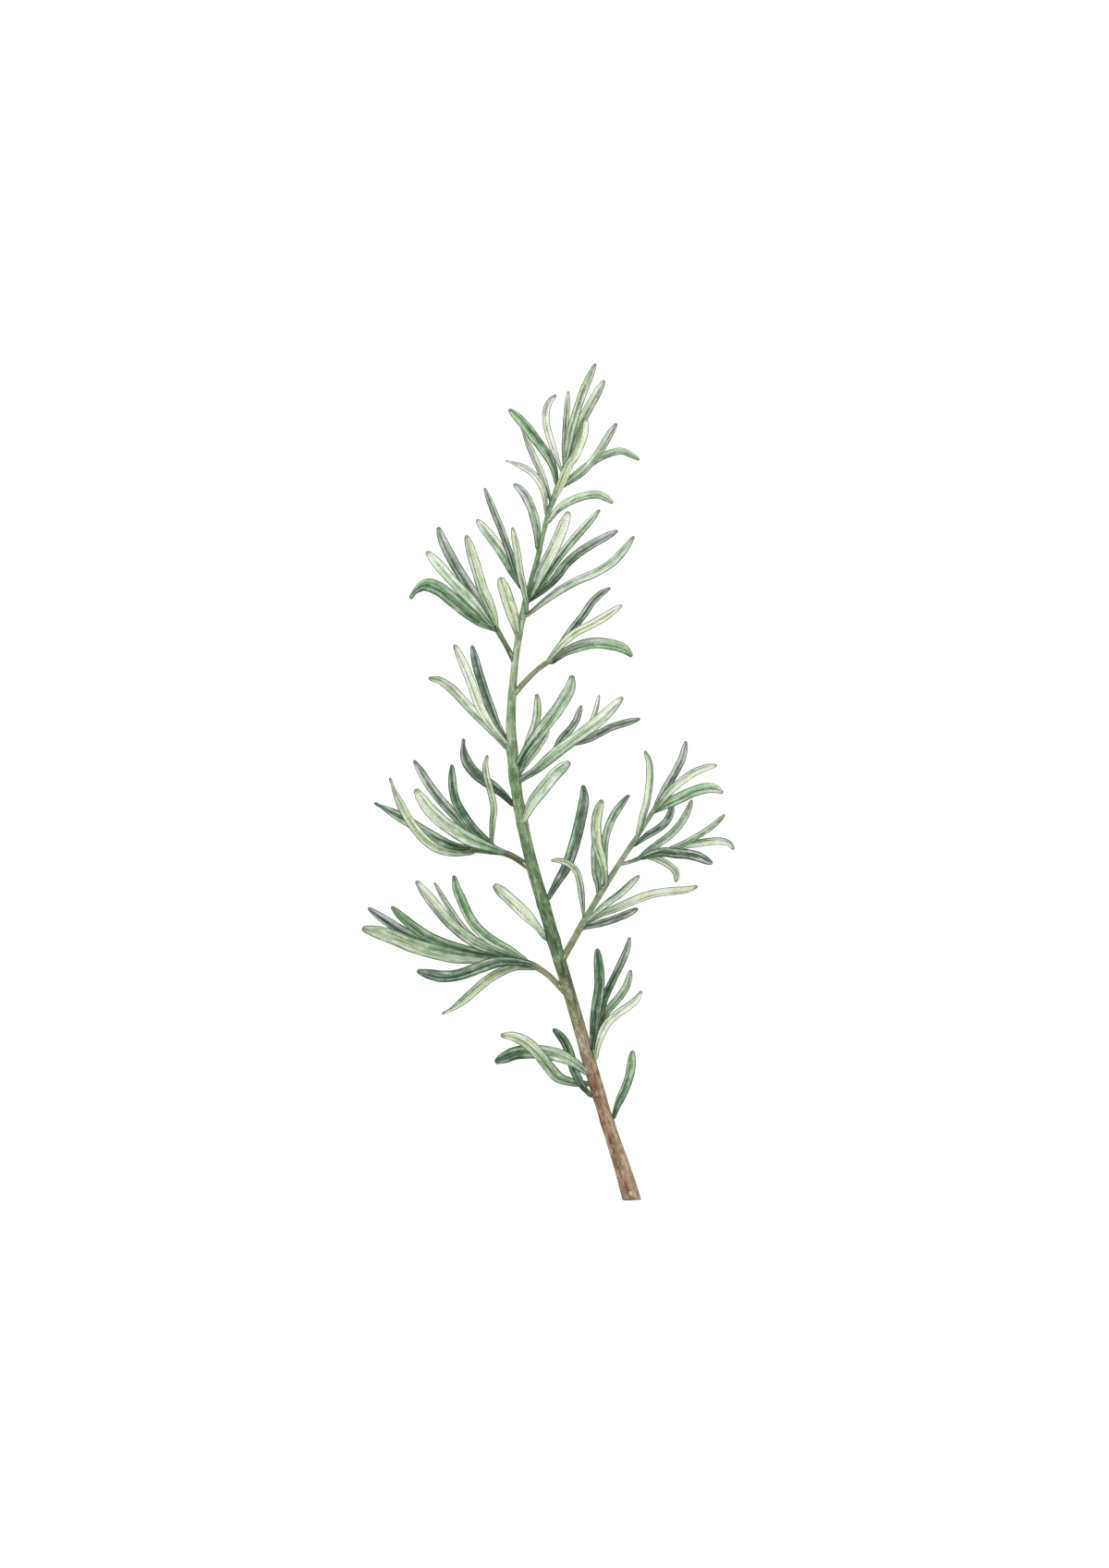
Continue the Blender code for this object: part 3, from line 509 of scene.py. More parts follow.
# %% The leaves, one by one
LEAVES = {
    "growing_tip": [
        ("leaf_grey", "ivory slate ivory", "lilac mint cream", 0.0),
        ("leaf_cream", "mint olive celery celery leaf", "celery olive olive cream ivory", -0.35),
        ("leaf_olive", "cream olive olive", "mint celery celery", -0.2),
        ("leaf_grey", "grey cream cream", "mint mint dove", 0.1),
    ],
    "leaf_crown_1": [("ivory cream lilac", "ivory ivory cream", -0.1)],
    "leaf_crown_2": [("leaf leaf spring", "jade jade leaf", 0.15)],
    "leaf_crown_3": [("dove lilac lilac", "cream cream mint", -0.2)],
    "leaf_crown_4": [("celery cream lilac", "celery ivory ivory", 0.2)],
    "leaf_crown_5": [("celery mint grey", "leaf celery mint", 0.3)],
    "leaf_crown_6": [("mint mint celery", "mint spring spring", 0.3)],
    "leaf_crown_7": [("ivory mint celery", "grey celery mint", 0.25)],
    "leaf_crown_8": [("leaf celery lilac", "leaf mint lilac", 0.2)],
    "leaf_upper_right_1": [("jade dove cream", "jade mint cream ivory", -0.4)],
    "leaf_upper_right_2": [("slate dove mint", "celery mint mint", -0.3)],
    "leaf_pair_upper_right": [
        ("leaf_green", "leaf ivory ivory", "jade leaf celery", -0.2),
        ("leaf_dark", "moss jade lilac", "pine slate lilac", 0.3),
    ],
    "leaf_upper_left_1": [("leaf celery cream", "leaf olive cream", 0.25)],
    "leaf_upper_left_2": [("celery olive mint", "celery olive olive", 0.0)],
    "leaf_pair_upper_left": [
        ("leaf_cream", "jade leaf mint", "jade celery ivory ivory", 0.2),
        ("leaf_dark", "moss slate grey", "moss grey lilac", 0.0),
    ],
    "leaf_left_high_1": [("leaf moss jade", "jade leaf jade", -0.15)],
    "leaf_left_high_2": [("celery mint cream", "celery mint ivory", 0.0)],
    "shoot_left_high": [
        ("leaf_dark", "jade slate grey", "cream dove grey", 0.0),
        ("leaf_olive", "mint celery lilac", "cream olive cream", -0.3),
    ],
    "leaf_right_high_1": [("grey celery spring", "slate spring leaf", 0.3)],
    "shoot_right_high": [
        ("leaf_dark", "mint slate grey", "slate slate grey", 0.0),
        ("leaf_cream", "olive cream ivory", "cream olive cream", -0.1),
    ],
    "leaf_left_mid_1": [("mint celery olive", "cream ivory jade", 0.0)],
    "leaf_left_mid_2": [("olive ivory dove", "ivory cream ivory", -0.2)],
    "leaf_left_mid_3": [("grey moss slate", "grey grey slate", 0.2)],
    "leaf_right_mid_1": [("leaf celery mint", "pine jade mint celery", 0.0)],
    "leaf_right_mid_2": [("leaf celery cream", "moss celery mint", 0.2)],
    "leaf_right_mid_3": [("grey celery cream", "cream mint dove", -0.35)],
    "leaf_pair_right_mid": [
        ("leaf_olive", "jade ivory celery", "jade celery olive", 0.0),
        ("leaf_olive", "jade celery jade", "mint cream ivory", 0.2),
    ],
    "shoot_right_mid": [
        ("leaf_dark", "jade slate lilac", "spring grey dove", 0.0),
        ("leaf_olive", "ivory cream ivory", "olive olive dove", 0.2),
        ("leaf_dark", "cream slate mint", "grey slate slate", 0.0),
    ],
    "leaf_left_low_1": [("pine pine slate", "pine moss slate", 0.1)],
    "leaf_left_low_2": [("leaf celery celery", "grey olive olive", 0.0)],
    "leaf_left_low_3": [("pine jade celery jade moss", "pine moss celery jade jade", 0.0)],
    "leaf_left_low_4": [("leaf olive dove", "leaf cream olive", 0.2)],
    "leaf_left_low_5": [("leaf celery cream", "celery celery cream", 0.2)],
    "shoot_left_low": [
        ("leaf_grey", "leaf slate dove", "jade grey grey", 0.0),
        ("leaf_green", "jade moss moss", "grey moss leaf", 0.1),
    ],
    "leaf_left_bottom_1": [("leaf celery leaf", "celery leaf jade", -0.2)],
    "leaf_left_bottom_2": [("jade grey dove", "leaf celery cream", -0.35)],
    "leaf_left_bottom_3": [("dove celery celery", "slate leaf celery", 0.35)],
    "leaf_left_bottom_4": [("moss moss pine", "slate slate slate", -0.2)],
    "leaf_left_bottom_5": [("grey olive mint", "slate mint grey", 0.3)],
    "leaf_left_bottom_6": [("leaf cream jade", "celery cream mint", -0.35)],
    "shoot_left_bottom": [
        ("leaf_dark", "moss pine slate", "moss slate lilac", 0.0),
        ("leaf_green", "moss jade jade", "grey leaf leaf", 0.0),
        ("leaf_grey", "celery mint dove", "mint cream dove", 0.0),
    ],
    "leaf_right_fork_1": [("celery cream mint", "leaf celery leaf", 0.35)],
    "leaf_right_fork_2": [("slate slate slate", "moss slate grey", 0.1)],
    "leaf_right_fork_3": [("leaf celery celery", "celery olive olive", -0.2)],
    "leaf_right_fork_4": [("slate moss slate", "slate slate slate", 0.1)],
    "leaf_right_fork_5": [("grey celery olive", "grey celery olive", 0.0)],
    "leaf_right_fork_6": [("ivory slate grey", "mint mint mint", -0.4)],
    "leaf_right_fork_7": [("celery cream cream", "cream cream mint", 0.35)],
    "leaf_right_fork_8": [("slate grey grey", "grey slate grey", -0.2)],
    "leaf_right_fork_9": [("leaf slate slate", "moss pine grey", 0.0)],
    "shoot_right_fork": [
        ("leaf_green", "slate grey dove", "leaf spring celery", 0.0),
        ("leaf_green", "celery mint moss", "celery mint leaf", 0.2),
        ("leaf_grey", "mint dove lilac", "celery slate dove", 0.0),
        ("leaf_cream", "cream mint cream", "spring cream cream", -0.3),
        ("leaf_green", "mint spring mint", "moss leaf cream", 0.2),
    ],
    "shoot_right_fork_side": [
        ("leaf_mint", "mint mint dove", "cream cream mint", 0.1),
        ("leaf_mint", "moss grey grey", "grey celery celery", -0.2),
        ("leaf_green", "lilac celery mint", "leaf spring leaf", 0.1),
        ("leaf_cream", "grey leaf dove", "olive cream cream", -0.3),
    ],
    "leaf_right_low_1": [("pine moss moss", "pine moss moss", 0.1)],
    "leaf_right_low_2": [("mint cream dove", "cream cream ivory", -0.2)],
    "shoot_right_low": [
        ("leaf_dark", "pine pine grey", "moss moss grey", -0.1),
        ("leaf_green", "moss celery celery", "celery spring grey", 0.2),
    ],
    "leaf_foot_left_1": [("jade leaf olive", "jade celery cream", -0.1)],
    "leaf_foot_left_2": [("grey celery celery moss pine", "leaf celery celery moss pine", 0.0)],
    "leaf_foot_left_3": [("pine pine moss pine pine", "pine jade moss", 0.0)],
    "leaf_foot_right_1": [("moss jade leaf", "pine moss leaf celery", -0.3)],
}
for node, rows in LEAVES.items():
    assert len(rows) == len(rails[node]), f"{node} has {len(rails[node])} leaves"
    if len(rows) == 1:
        LEAVES[node] = [(slot_of[node], *rows[0])]
print(f"{sum(len(rows) for rows in LEAVES.values())} leaves have their colours")

# %% [markdown]
# ## The shape of a leaf
#
# A rosemary leaf is a narrow strip whose margins are rolled under, so that it looks like a thick needle.
# Above, it is domed, with a groove over the midrib. Beneath, the midrib stands up as a ridge between two
# hollows, and the rolled margins stand up on either side.
# Every leaf has this section, so a Geometry Nodes tree makes it: it sweeps a ring along each rail, and then
# puts every point of the ring where the section says. The ring's points are crowded near the midrib, which
# has the finest detail. The tree also notes on each point how far across the leaf it is and which face it
# is on, for the finish to use.

# %% Helpers for a Geometry Nodes tree
WELD = 0.4e-6                   # corners nearer than this, in metres, are one corner


def new_shape(name, inputs):
    """A Geometry Nodes tree with named inputs, its maker and a wire from each input."""
    tree = bpy.data.node_groups.new(name, "GeometryNodeTree")
    tree.interface.new_socket("Rails", in_out="INPUT", socket_type="NodeSocketGeometry")
    for label, (kind, value) in inputs.items():
        socket = tree.interface.new_socket(label, in_out="INPUT", socket_type=kind)
        if value is not None:
            socket.default_value = value
    tree.interface.new_socket("Shape", in_out="OUTPUT", socket_type="NodeSocketGeometry")
    entry = tree.nodes.new("NodeGroupInput")
    maker = Maker(tree)
    return maker, {socket.name: Wire(maker, socket) for socket in entry.outputs if socket.name}


def note(maker, shape, name, kind, value):
    """Stores a value on every point of the shape, under a name."""
    return maker.add("GeometryNodeStoreNamedAttribute", {"data_type": kind, "domain": "POINT"},
                     {"Geometry": shape, "Name": name, "Value": value})


def noted(maker, names, kind="FLOAT"):
    """Wires that read values by their names."""
    return [maker.add("GeometryNodeInputNamedAttribute", {"data_type": kind}, {"Name": name}, "Attribute")
            for name in names.split()]


def swept_ring(maker, given):
    """Rings of points along the rails. Each point knows its angle, and the rail's own place there."""
    position = maker.add("GeometryNodeInputPosition")
    spines = note(maker, given["Rails"], "spine", "FLOAT_VECTOR", position)
    curve = maker.add("GeometryNodeMeshToCurve", inputs={"Mesh": spines})
    ring = maker.add("GeometryNodeCurvePrimitiveCircle", {"mode": "RADIUS"},
                     {"Resolution": given["Sides"], "Radius": MM})
    index = maker.add("GeometryNodeInputIndex")
    ring = note(maker, ring, "angle", "FLOAT", index * (2 * math.pi) / given["Sides"])
    return maker.add("GeometryNodeCurveToMesh", inputs={"Curve": curve, "Profile Curve": ring})


def ring_directions(maker):
    """At each point: the rail's place, and the directions to its right, above it and along it."""
    spine, right, run = noted(maker, "spine right run", "FLOAT_VECTOR")
    return spine, right, maker.vector("CROSS_PRODUCT", right, run), run


def finish_tree(maker, shape, places, material):
    """Puts the points in their places, closes the poles, and ends the tree with real geometry."""
    shape = maker.add("GeometryNodeSetPosition", inputs={"Geometry": shape, "Position": places})
    shape = maker.add("GeometryNodeMergeByDistance", inputs={"Geometry": shape, "Distance": WELD})
    shape = maker.add("GeometryNodeSetShadeSmooth", inputs={"Geometry": shape, "Shade Smooth": True})
    shape = maker.add("GeometryNodeRealizeInstances", inputs={"Geometry": shape})
    shape = maker.add("GeometryNodeSetMaterial", inputs={"Geometry": shape, "Material": material})
    leave = maker.tree.nodes.new("NodeGroupOutput")
    maker.tree.links.new(shape.socket, leave.inputs["Shape"])


print("helpers for shapes are ready")

# %% [markdown]
# ## The section of a leaf
#
# The angle round the ring becomes a distance across the leaf, from -1 at the left margin to 1 at the right.
# The upper and the under side each have a height that depends on it. The dome is highest in the middle, the
# groove and the ridge are narrow bells over the midrib, and the rolled margins are bells near the two edges.
# A leaf that lies with its felt up is the same leaf with its heights turned over.

# %% The tree that makes a leaf
CROWDED = 1.5                   # how strongly the ring's points are drawn to the midrib
MIDRIB_WIDTH = 0.13             # as a share of half the leaf's width, as the margin's place and width are
MARGIN_AT, MARGIN_WIDTH = 0.84, 0.13
TOP_THICK, UNDER_THICK = 0.75, 0.35     # how the blade's thickness is shared between its two sides


def leaf_tree():
    maker, given = new_shape("leaf from its rail", {
        "Sides": ("NodeSocketInt", 32),
        "Dome": ("NodeSocketFloat", 0.30),
        "Groove": ("NodeSocketFloat", 0.16),
        "Roll": ("NodeSocketFloat", 0.26),
        "Ridge": ("NodeSocketFloat", 0.22),
        "Waviness": ("NodeSocketFloat", 0.05),
        "Material": ("NodeSocketMaterial", None),
    })
    shape = swept_ring(maker, given)
    angle, half, thick, rib, felted, along, seed = noted(
        maker, "angle half_width thick rib felt_up along seed")
    spine, right, above, _ = ring_directions(maker)

    # The points on the two margins count as upper ones, although their sines may be rounded below 0.
    turn = maker.maths("COSINE", angle)
    sign = maker.maths("SIGN", turn)
    across = sign * maker.maths("POWER", abs(turn), CROWDED)
    upper = maker.maths("GREATER_THAN", maker.maths("SINE", angle), -0.001)

    # The margins wander a little, each on its own.
    wander = maker.noise(maker.spot(along * 7.0, sign * 3.0, seed))
    width = half * across * (1 + given["Waviness"] * (wander - 0.5) * 4.0)

    # The relief grows with the blade's width, up to what its thickness bears.
    body = maker.maths("SQRT", maker.maths("MAXIMUM", 1 - across * across, 0.0))
    groove = maker.bell(across - rib, MIDRIB_WIDTH)
    margin = maker.bell(abs(across) - MARGIN_AT, MARGIN_WIDTH)
    droop = across * across * (0.35 + 0.65 * across * across)
    slim = maker.maths("MINIMUM", half, thick * 1.6)
    dome = given["Dome"] * slim * (1 - droop)
    top = thick * body * TOP_THICK + dome - given["Groove"] * slim * groove
    under = (dome - thick * body * UNDER_THICK
             - given["Roll"] * slim * margin * body * 2.0 - given["Ridge"] * slim * groove)
    height = under + (top - under) * upper
    lift = height * (1 - 2 * felted)

    shape = note(maker, shape, "across", "FLOAT", across)
    shape = note(maker, shape, "front", "FLOAT", upper + felted - 2 * upper * felted)
    finish_tree(maker, shape, spine + right * width + above * lift, given["Material"])
    return maker.tree


leaf_shape = leaf_tree()
print(f"the leaf's tree has {len(leaf_shape.nodes)} nodes")

# %% [markdown]
# ## From a rail to a leaf
#
# The rail is a line of vertices, and everything that the tree needs to know is stored on them by name.
# Its stations are crowded towards the foot and the tip, where the outline bends most.
# The last ring of the frame's leaf is a little short of the tip, so the outline beyond it is rounded off.
# A leaf narrows into a short foot, and keeps some width close to its tip, so it doesn't end in a needle.

# %% Lines that carry notes
ATTRIBUTE_KINDS = {1: ("FLOAT", "value"), 3: ("FLOAT_VECTOR", "vector"), 4: ("FLOAT_COLOR", "color")}


def line_mesh(name, places, notes):
    """A mesh of one line through places in millimetres, with named values on its vertices."""
    mesh = bpy.data.meshes.new(name)
    edges = [(k, k + 1) for k in range(len(places) - 1)]
    mesh.from_pydata([tuple(place) for place in places * MM], edges, [])
    for label, values in notes.items():
        values = np.asarray(values, np.float32).reshape(len(places), -1)
        kind, field = ATTRIBUTE_KINDS[values.shape[1]]
        mesh.attributes.new(label, kind, "POINT").data.foreach_set(field, values.reshape(-1))
    return mesh


def eased(share):
    """A smooth rise from 0 to 1."""
    return share * share * (3 - 2 * share)


print("lines can carry notes")

# %% The rail of one leaf
ROWS = 58                       # stations along a leaf
END_CROWDING = 0.6              # how strongly they are drawn to its foot and its tip
LAST_RING = 0.97                # where the frame's last ring is, as a share of a leaf's length
ROUND_END = 1.6                 # how blunt the tip is beyond it: 2 is an ellipse
THIN = 0.26                     # half of a leaf's thickness, in millimetres, for a narrow leaf
THICK_BY_WIDTH = 0.045
THIN_EDGES = 0.4                # how thick the blade stays where it has no width
FOOT_WIDTH, FOOT_ENDS = 0.78, 0.16      # a foot's width as a share of the blade's, and where it ends
TIP_WIDTH = 0.36                # the least width near a tip, as a share of the blade's
CLASPING = {("growing_tip", 2)}         # a young leaf that is as wide as the shoot that it continues
FELT_UP = ("leaf_olive", "leaf_cream")  # finishes of leaves that lie with their felt up


def stations_along():
    even = np.linspace(0, 1, ROWS)
    return (1 - END_CROWDING) * even + END_CROWDING * (0.5 - 0.5 * np.cos(math.pi * even))


def leaf_rail(name, knots, finish, left, right, rib, seed, clasping):
    """The rail mesh of one leaf."""
    table = np.array([(*place, half, *across) for place, half, across in knots])
    shares = stations_along()
    fine, _ = smooth(table, shares)
    places = fine[:, :3]
    run = unit(np.gradient(places, axis=0))
    across = fine[:, 4:7]
    across = unit(across - run * np.sum(across * run, axis=1, keepdims=True))
    if np.cross(across, run)[:, 2].mean() < 0:
        across = -across
    half = np.maximum(fine[:, 3], 0)
    widest = half.max()
    half = np.where(shares > 0.5, np.maximum(half, TIP_WIDTH * widest), half)
    end = np.sqrt(1 - np.clip((shares - LAST_RING) / (1 - LAST_RING), 0, 1) ** ROUND_END)
    half = np.where(shares > LAST_RING, np.interp(LAST_RING, shares, half) * end, half)
    if not clasping:
        half = half * (FOOT_WIDTH + (1 - FOOT_WIDTH) * eased(np.clip(shares / FOOT_ENDS, 0, 1)))
    thick = (THIN + THICK_BY_WIDTH * widest) * (THIN_EDGES + (1 - THIN_EDGES) * half / widest) * end
    half[0] = thick[0] = 0
    felted = finish in FELT_UP
    return line_mesh(name, places, {
        "half_width": half * MM,
        "thick": thick * MM,
        "run": run,
        "right": across,
        "along": shares,
        "rib": np.full(ROWS, rib),
        "felt_up": np.full(ROWS, float(felted)),
        "clasping": np.full(ROWS, float(clasping)),
        "seed": np.full(ROWS, seed),
        "left_wash": washed(left, shares),
        "right_wash": washed(right, shares),
        "back_wash": washed("moss" if felted else "felt", shares),
    })


print(f"{ROWS} stations along a leaf")

# %% [markdown]
# ## From a tree to a plain mesh
#
# The tree runs as a modifier on the rail. Its result is copied out as a plain mesh, and the rail and its
# modifier are thrown away, so that the finished leaf depends on nothing else. The faces are all turned
# outwards, and the edges that don't have a face on both sides are counted: there should be none.

# %% Run a tree on a rail
def made_solid(name, rail, tree, inputs):
    """Runs a tree on a rail, and gives its result as a plain mesh object at the origin."""
    helper = bpy.data.objects.new(name + "_rail", rail)
    bpy.context.scene.collection.objects.link(helper)
    modifier = helper.modifiers.new("shape", "NODES")
    modifier.node_group = tree
    sockets = {item.name: item.identifier for item in tree.interface.items_tree if item.in_out == "INPUT"}
    for label, value in inputs.items():
        modifier[sockets[label]] = value
    bpy.context.view_layer.update()
    graph = bpy.context.evaluated_depsgraph_get()
    mesh = bpy.data.meshes.new_from_object(helper.evaluated_get(graph))
    helper.modifiers.remove(modifier)
    bpy.data.objects.remove(helper)
    bpy.data.meshes.remove(rail)
    mesh.name = name
    shell = bmesh.new()
    shell.from_mesh(mesh)
    bmesh.ops.recalc_face_normals(shell, faces=shell.faces)
    open_edges = sum(not edge.is_manifold for edge in shell.edges)
    shell.to_mesh(mesh)
    shell.free()
    piece = bpy.data.objects.new(name, mesh)
    bpy.context.scene.collection.objects.link(piece)
    return piece, open_edges


print("rails can be made into solids")

# %% [markdown]
# ## Helpers for finishes
#
# Every finish ends in the same shader, for something that grew: a low sheen, and a bump from its relief.
# What is the same all over is set on the shader itself, and only what changes over the surface is wired.

# %% Helpers for finishes
SHEEN = 0.28


def new_finish(name):
    """A material with an empty tree, and its maker."""
    material = bpy.data.materials.new(name)
    material.use_nodes = True
    material.node_tree.nodes.clear()
    return material, Maker(material.node_tree)


def surface(maker, sockets):
    """Ends a tree with the shader that has these values and wires in its sockets."""
    shader = maker.add("ShaderNodeBsdfPrincipled", inputs=sockets)
    maker.add("ShaderNodeOutputMaterial", inputs={"Surface": shader})


def grown_surface(maker, colour, roughness, relief, strength, depth):
    """Ends a tree with the shader of something that grew, with a bump of this strength and depth."""
    bump = maker.add("ShaderNodeBump", inputs={"Strength": strength, "Distance": depth, "Height": relief})
    surface(maker, {
        "Base Color": colour,
        "Roughness": roughness,
        "Specular IOR Level": SHEEN,
        "Normal": bump,
    })


def read(maker, names, output="Fac"):
    """Wires that read values, or colours, by the names that the trees and rails gave them."""
    return [maker.add("ShaderNodeAttribute", {"attribute_name": name}, output=output)
            for name in names.split()]


def mixed(maker, share, first, second):
    """A colour between two colours."""
    return maker.add("ShaderNodeMix", {"data_type": "RGBA"}, {0: share, 6: first, 7: second})


def richer(maker, colour, pigment):
    """More pigment makes a colour darker and richer, as a power does."""
    return maker.add("ShaderNodeGamma", inputs={"Color": colour, "Gamma": pigment})


print("helpers for finishes are ready")

# %% [markdown]
# ## The finish of a leaf
#
# The two washes meet at the midrib, but a leaf is never evenly coloured. So the finish works out how much
# pigment each spot has, from broad strokes and finer streaks along the leaf and from blotches, with less on
# the two crests beside the midrib, as a painted highlight where the dome is highest. The wash is raised to
# that power, and gets a fine grain.
# Over it lie the dark lines, partly the darker margins and midrib that a leaf has and partly painted shade:
# at the rolled margins, where the blade turns away, in the groove over the midrib, and in a finer line
# beside it.
# They are as wide on a broad leaf as on a narrow one, so they are measured in millimetres.
# The foot is painted greener and darker, as painted shade of the shoot and the leaves over it, and the tip
# is small and dry. The upper face is wrinkled and has a low gloss, and the felt is matt with a fine nap.
# All of this is numbers on the leaf's own points, so the pattern stays on the leaf from every side.

# %% Leaf finish
LEAF_PIGMENT = 0.98             # of a plain spot, and then its least and its most
LEAF_PIGMENT_ENDS = 0.35, 2.2
MARGIN_LINE = 0.34, 0.14        # where the dark margin begins and is full, in millimetres from the edge
RIB_LINE, SECOND_LINE = 0.12, 0.08      # how wide the lines at the midrib are, in millimetres
SECOND_AT = 0.36                # how far the second line lies from the midrib, as a share of half the width
# the colour of the dark lines, which are partly painted shade
LINE_AND_SHADE_COLOUR = (0.028, 0.038, 0.030)
FOOT_ENDS_AT, FOOT_SHADE = 0.42, (0.38, 0.52, 0.35)
DRY_TIP = (0.125, 0.120, 0.115, 1.0)


def leaf_finish(name, gloss, line_depth):
    material, maker = new_finish(name)
    across, along, rib, front, felted, clasps, seed, half = read(
        maker, "across along rib front felt_up clasping seed half_width")
    left_wash, right_wash, back_wash = read(maker, "left_wash right_wash back_wash", "Color")
    place = maker.add("ShaderNodeTexCoord", output="Object")

    # Patterns that are stretched along the leaf, and patterns that aren't.
    strokes = maker.noise(maker.spot(along * 4.0, across * 3.0, seed), 1.0, 2.0, 0.5)
    streaks = maker.noise(maker.spot(along * 9.0, across * 6.5, seed + 5.0), 1.0, 3.0, 0.65)
    blotches = maker.noise(place, 420.0, 3.0, 0.55)
    grain = maker.noise(place, 2600.0, 2.0, 0.5)
    wobble = (blotches - 0.5) * 0.30

    side = maker.step(across - rib + wobble * 0.6, -0.09, 0.09)
    # Painted highlight: the two crests of the dome beside the midrib get less pigment, so they are paler.
    crest_highlight = maker.bell(abs(across) - 0.56, 0.17)
    middle = maker.bell(across - rib, 0.30)
    pigment = LEAF_PIGMENT + (strokes - 0.5) * 2.4 + (streaks - 0.5) * 1.8 + (blotches - 0.5) * 1.2
    pigment = maker.kept_between(pigment + middle * 0.25 - crest_highlight * 0.35, *LEAF_PIGMENT_ENDS)
    wash = richer(maker, mixed(maker, side, left_wash, right_wash), pigment)
    wash = wash * (1 + (streaks - 0.5) * -0.5 + (grain - 0.5) * 0.75)

    # Dark lines, partly the leaf's own darker margins and midrib and partly painted shade: at the rolled
    # margins, in the groove over the midrib, and in a fine line beside it.
    half_mm = maker.maths("MAXIMUM", half * (1 / MM), 0.7)
    outline = maker.step((1 - abs(across) - wobble * 0.25) * half_mm, *MARGIN_LINE)
    outline = outline * (0.75 + 0.25 * maker.step(streaks, 0.38, 0.56))
    outline = outline * (1 - clasps * maker.step(along, 0.45, 0.25) * 0.8)
    groove = maker.bell((across - rib + wobble * 0.2) * half_mm, RIB_LINE)
    groove = groove * maker.step(along, 0.995, 0.86) * (0.45 + 0.8 * maker.step(blotches, 0.38, 0.58))
    second = maker.bell((across - rib - SECOND_AT + wobble * 0.3) * half_mm, SECOND_LINE)
    second = second * maker.step(streaks, 0.46, 0.58)
    lines = maker.maths("MINIMUM", outline + groove * 0.90 + second * 0.60, 1.0)
    wash = mixed(maker, lines * line_depth, wash, wash * 0.12 + LINE_AND_SHADE_COLOUR)

    # Painted shade: the foot of each leaf is darkened and made greener, as in the shade of its shoot.
    foot = maker.step(along, FOOT_ENDS_AT, 0.0) * (1 - clasps)
    wash = mixed(maker, foot * 0.55, wash, wash * FOOT_SHADE)
    dry = maker.step(along + wobble * 0.12, 0.940, 0.995)
    wash = mixed(maker, dry * 0.70, wash, DRY_TIP)

    # The face that is turned to the table, with fainter dark lines that are partly painted shade.
    back = richer(maker, back_wash, pigment)
    back_lines_and_shade = maker.maths("MINIMUM", outline * 0.6 + groove * 0.6, 1.0)
    back = mixed(maker, back_lines_and_shade, back, back * 0.4)

    # Felt on one face, leathery skin on the other.
    fuzzy = front * felted + (1 - front) * (1 - felted)
    wrinkles = maker.add("ShaderNodeTexVoronoi", {"feature": "F1", "voronoi_dimensions": "3D"},
                         {"Vector": maker.spot(along * 30.0, across * 5.0, seed), "Scale": 1.3}, "Distance")
    nap = maker.noise(place, 5200.0, 3.0, 0.7)
    relief = wrinkles * (1 - fuzzy) * 0.55 + nap * (0.25 + 0.55 * fuzzy) + streaks * 0.35 - groove * 0.5
    roughness = gloss + fuzzy * (0.92 - gloss) + (grain - 0.5) * 0.12
    grown_surface(maker, mixed(maker, front, back, wash), roughness, relief, 0.55, 0.10 * MM)
    return material


LEAF_FINISHES = {               # gloss of the upper face, and how dark the lines are
    "leaf_dark": (0.46, 0.95),
    "leaf_green": (0.46, 0.95),
    "leaf_mint": (0.50, 0.90),
    "leaf_olive": (0.55, 0.90),
    "leaf_cream": (0.58, 0.88),
    "leaf_grey": (0.60, 0.90),
}
finishes = {name: leaf_finish(name, *numbers) for name, numbers in LEAF_FINISHES.items()}
print(f"{len(finishes)} leaf finishes, of {len(finishes['leaf_dark'].node_tree.nodes)} nodes each")

# %% [markdown]
# ## Making the leaves
#
# Each leaf is its own piece, with its own seed, so that no two are alike. A leaf that is alone in its node
# takes the node's name, and the leaves of a shoot are numbered from left to right.

# %% Leaves
SEED_STEP = 3.7                 # between the seeds of one leaf and the next

pieces = []                     # every piece, with the node that it stands for and its slot
open_total = 0
for node, rows in LEAVES.items():
    for number, (knots, (finish, left, right, rib)) in enumerate(zip(rails[node], rows), 1):
        name = f"{node}_blade" if len(rows) == 1 else f"{node}_blade_{number}"
        seed = (len(pieces) + 1) * SEED_STEP
        clasping = (node, number) in CLASPING
        rail = leaf_rail(name, knots, finish, left, right, rib, seed, clasping)
        leaf, open_edges = made_solid(name, rail, leaf_shape, {"Material": finishes[finish]})
        open_total += open_edges
        pieces.append((leaf, node, finish))
print(f"{len(pieces)} leaves, {open_total} open edges, {len(pieces[0][0].data.polygons)} faces each")

# %% [markdown]
# ## The shape of bark
#
# The old part of the stem is woody, with ridges along it, and the young part is smooth and squarish.
# Where a leaf or a side shoot leaves it, the bark swells into a knob. The lower end was cut with a knife,
# at a slant, so that its pale wood shows.
# The same sweep that makes a leaf makes bark, with a round section: the rail carries the radius, the knobs,
# how rough the bark is and how far the cut leans.

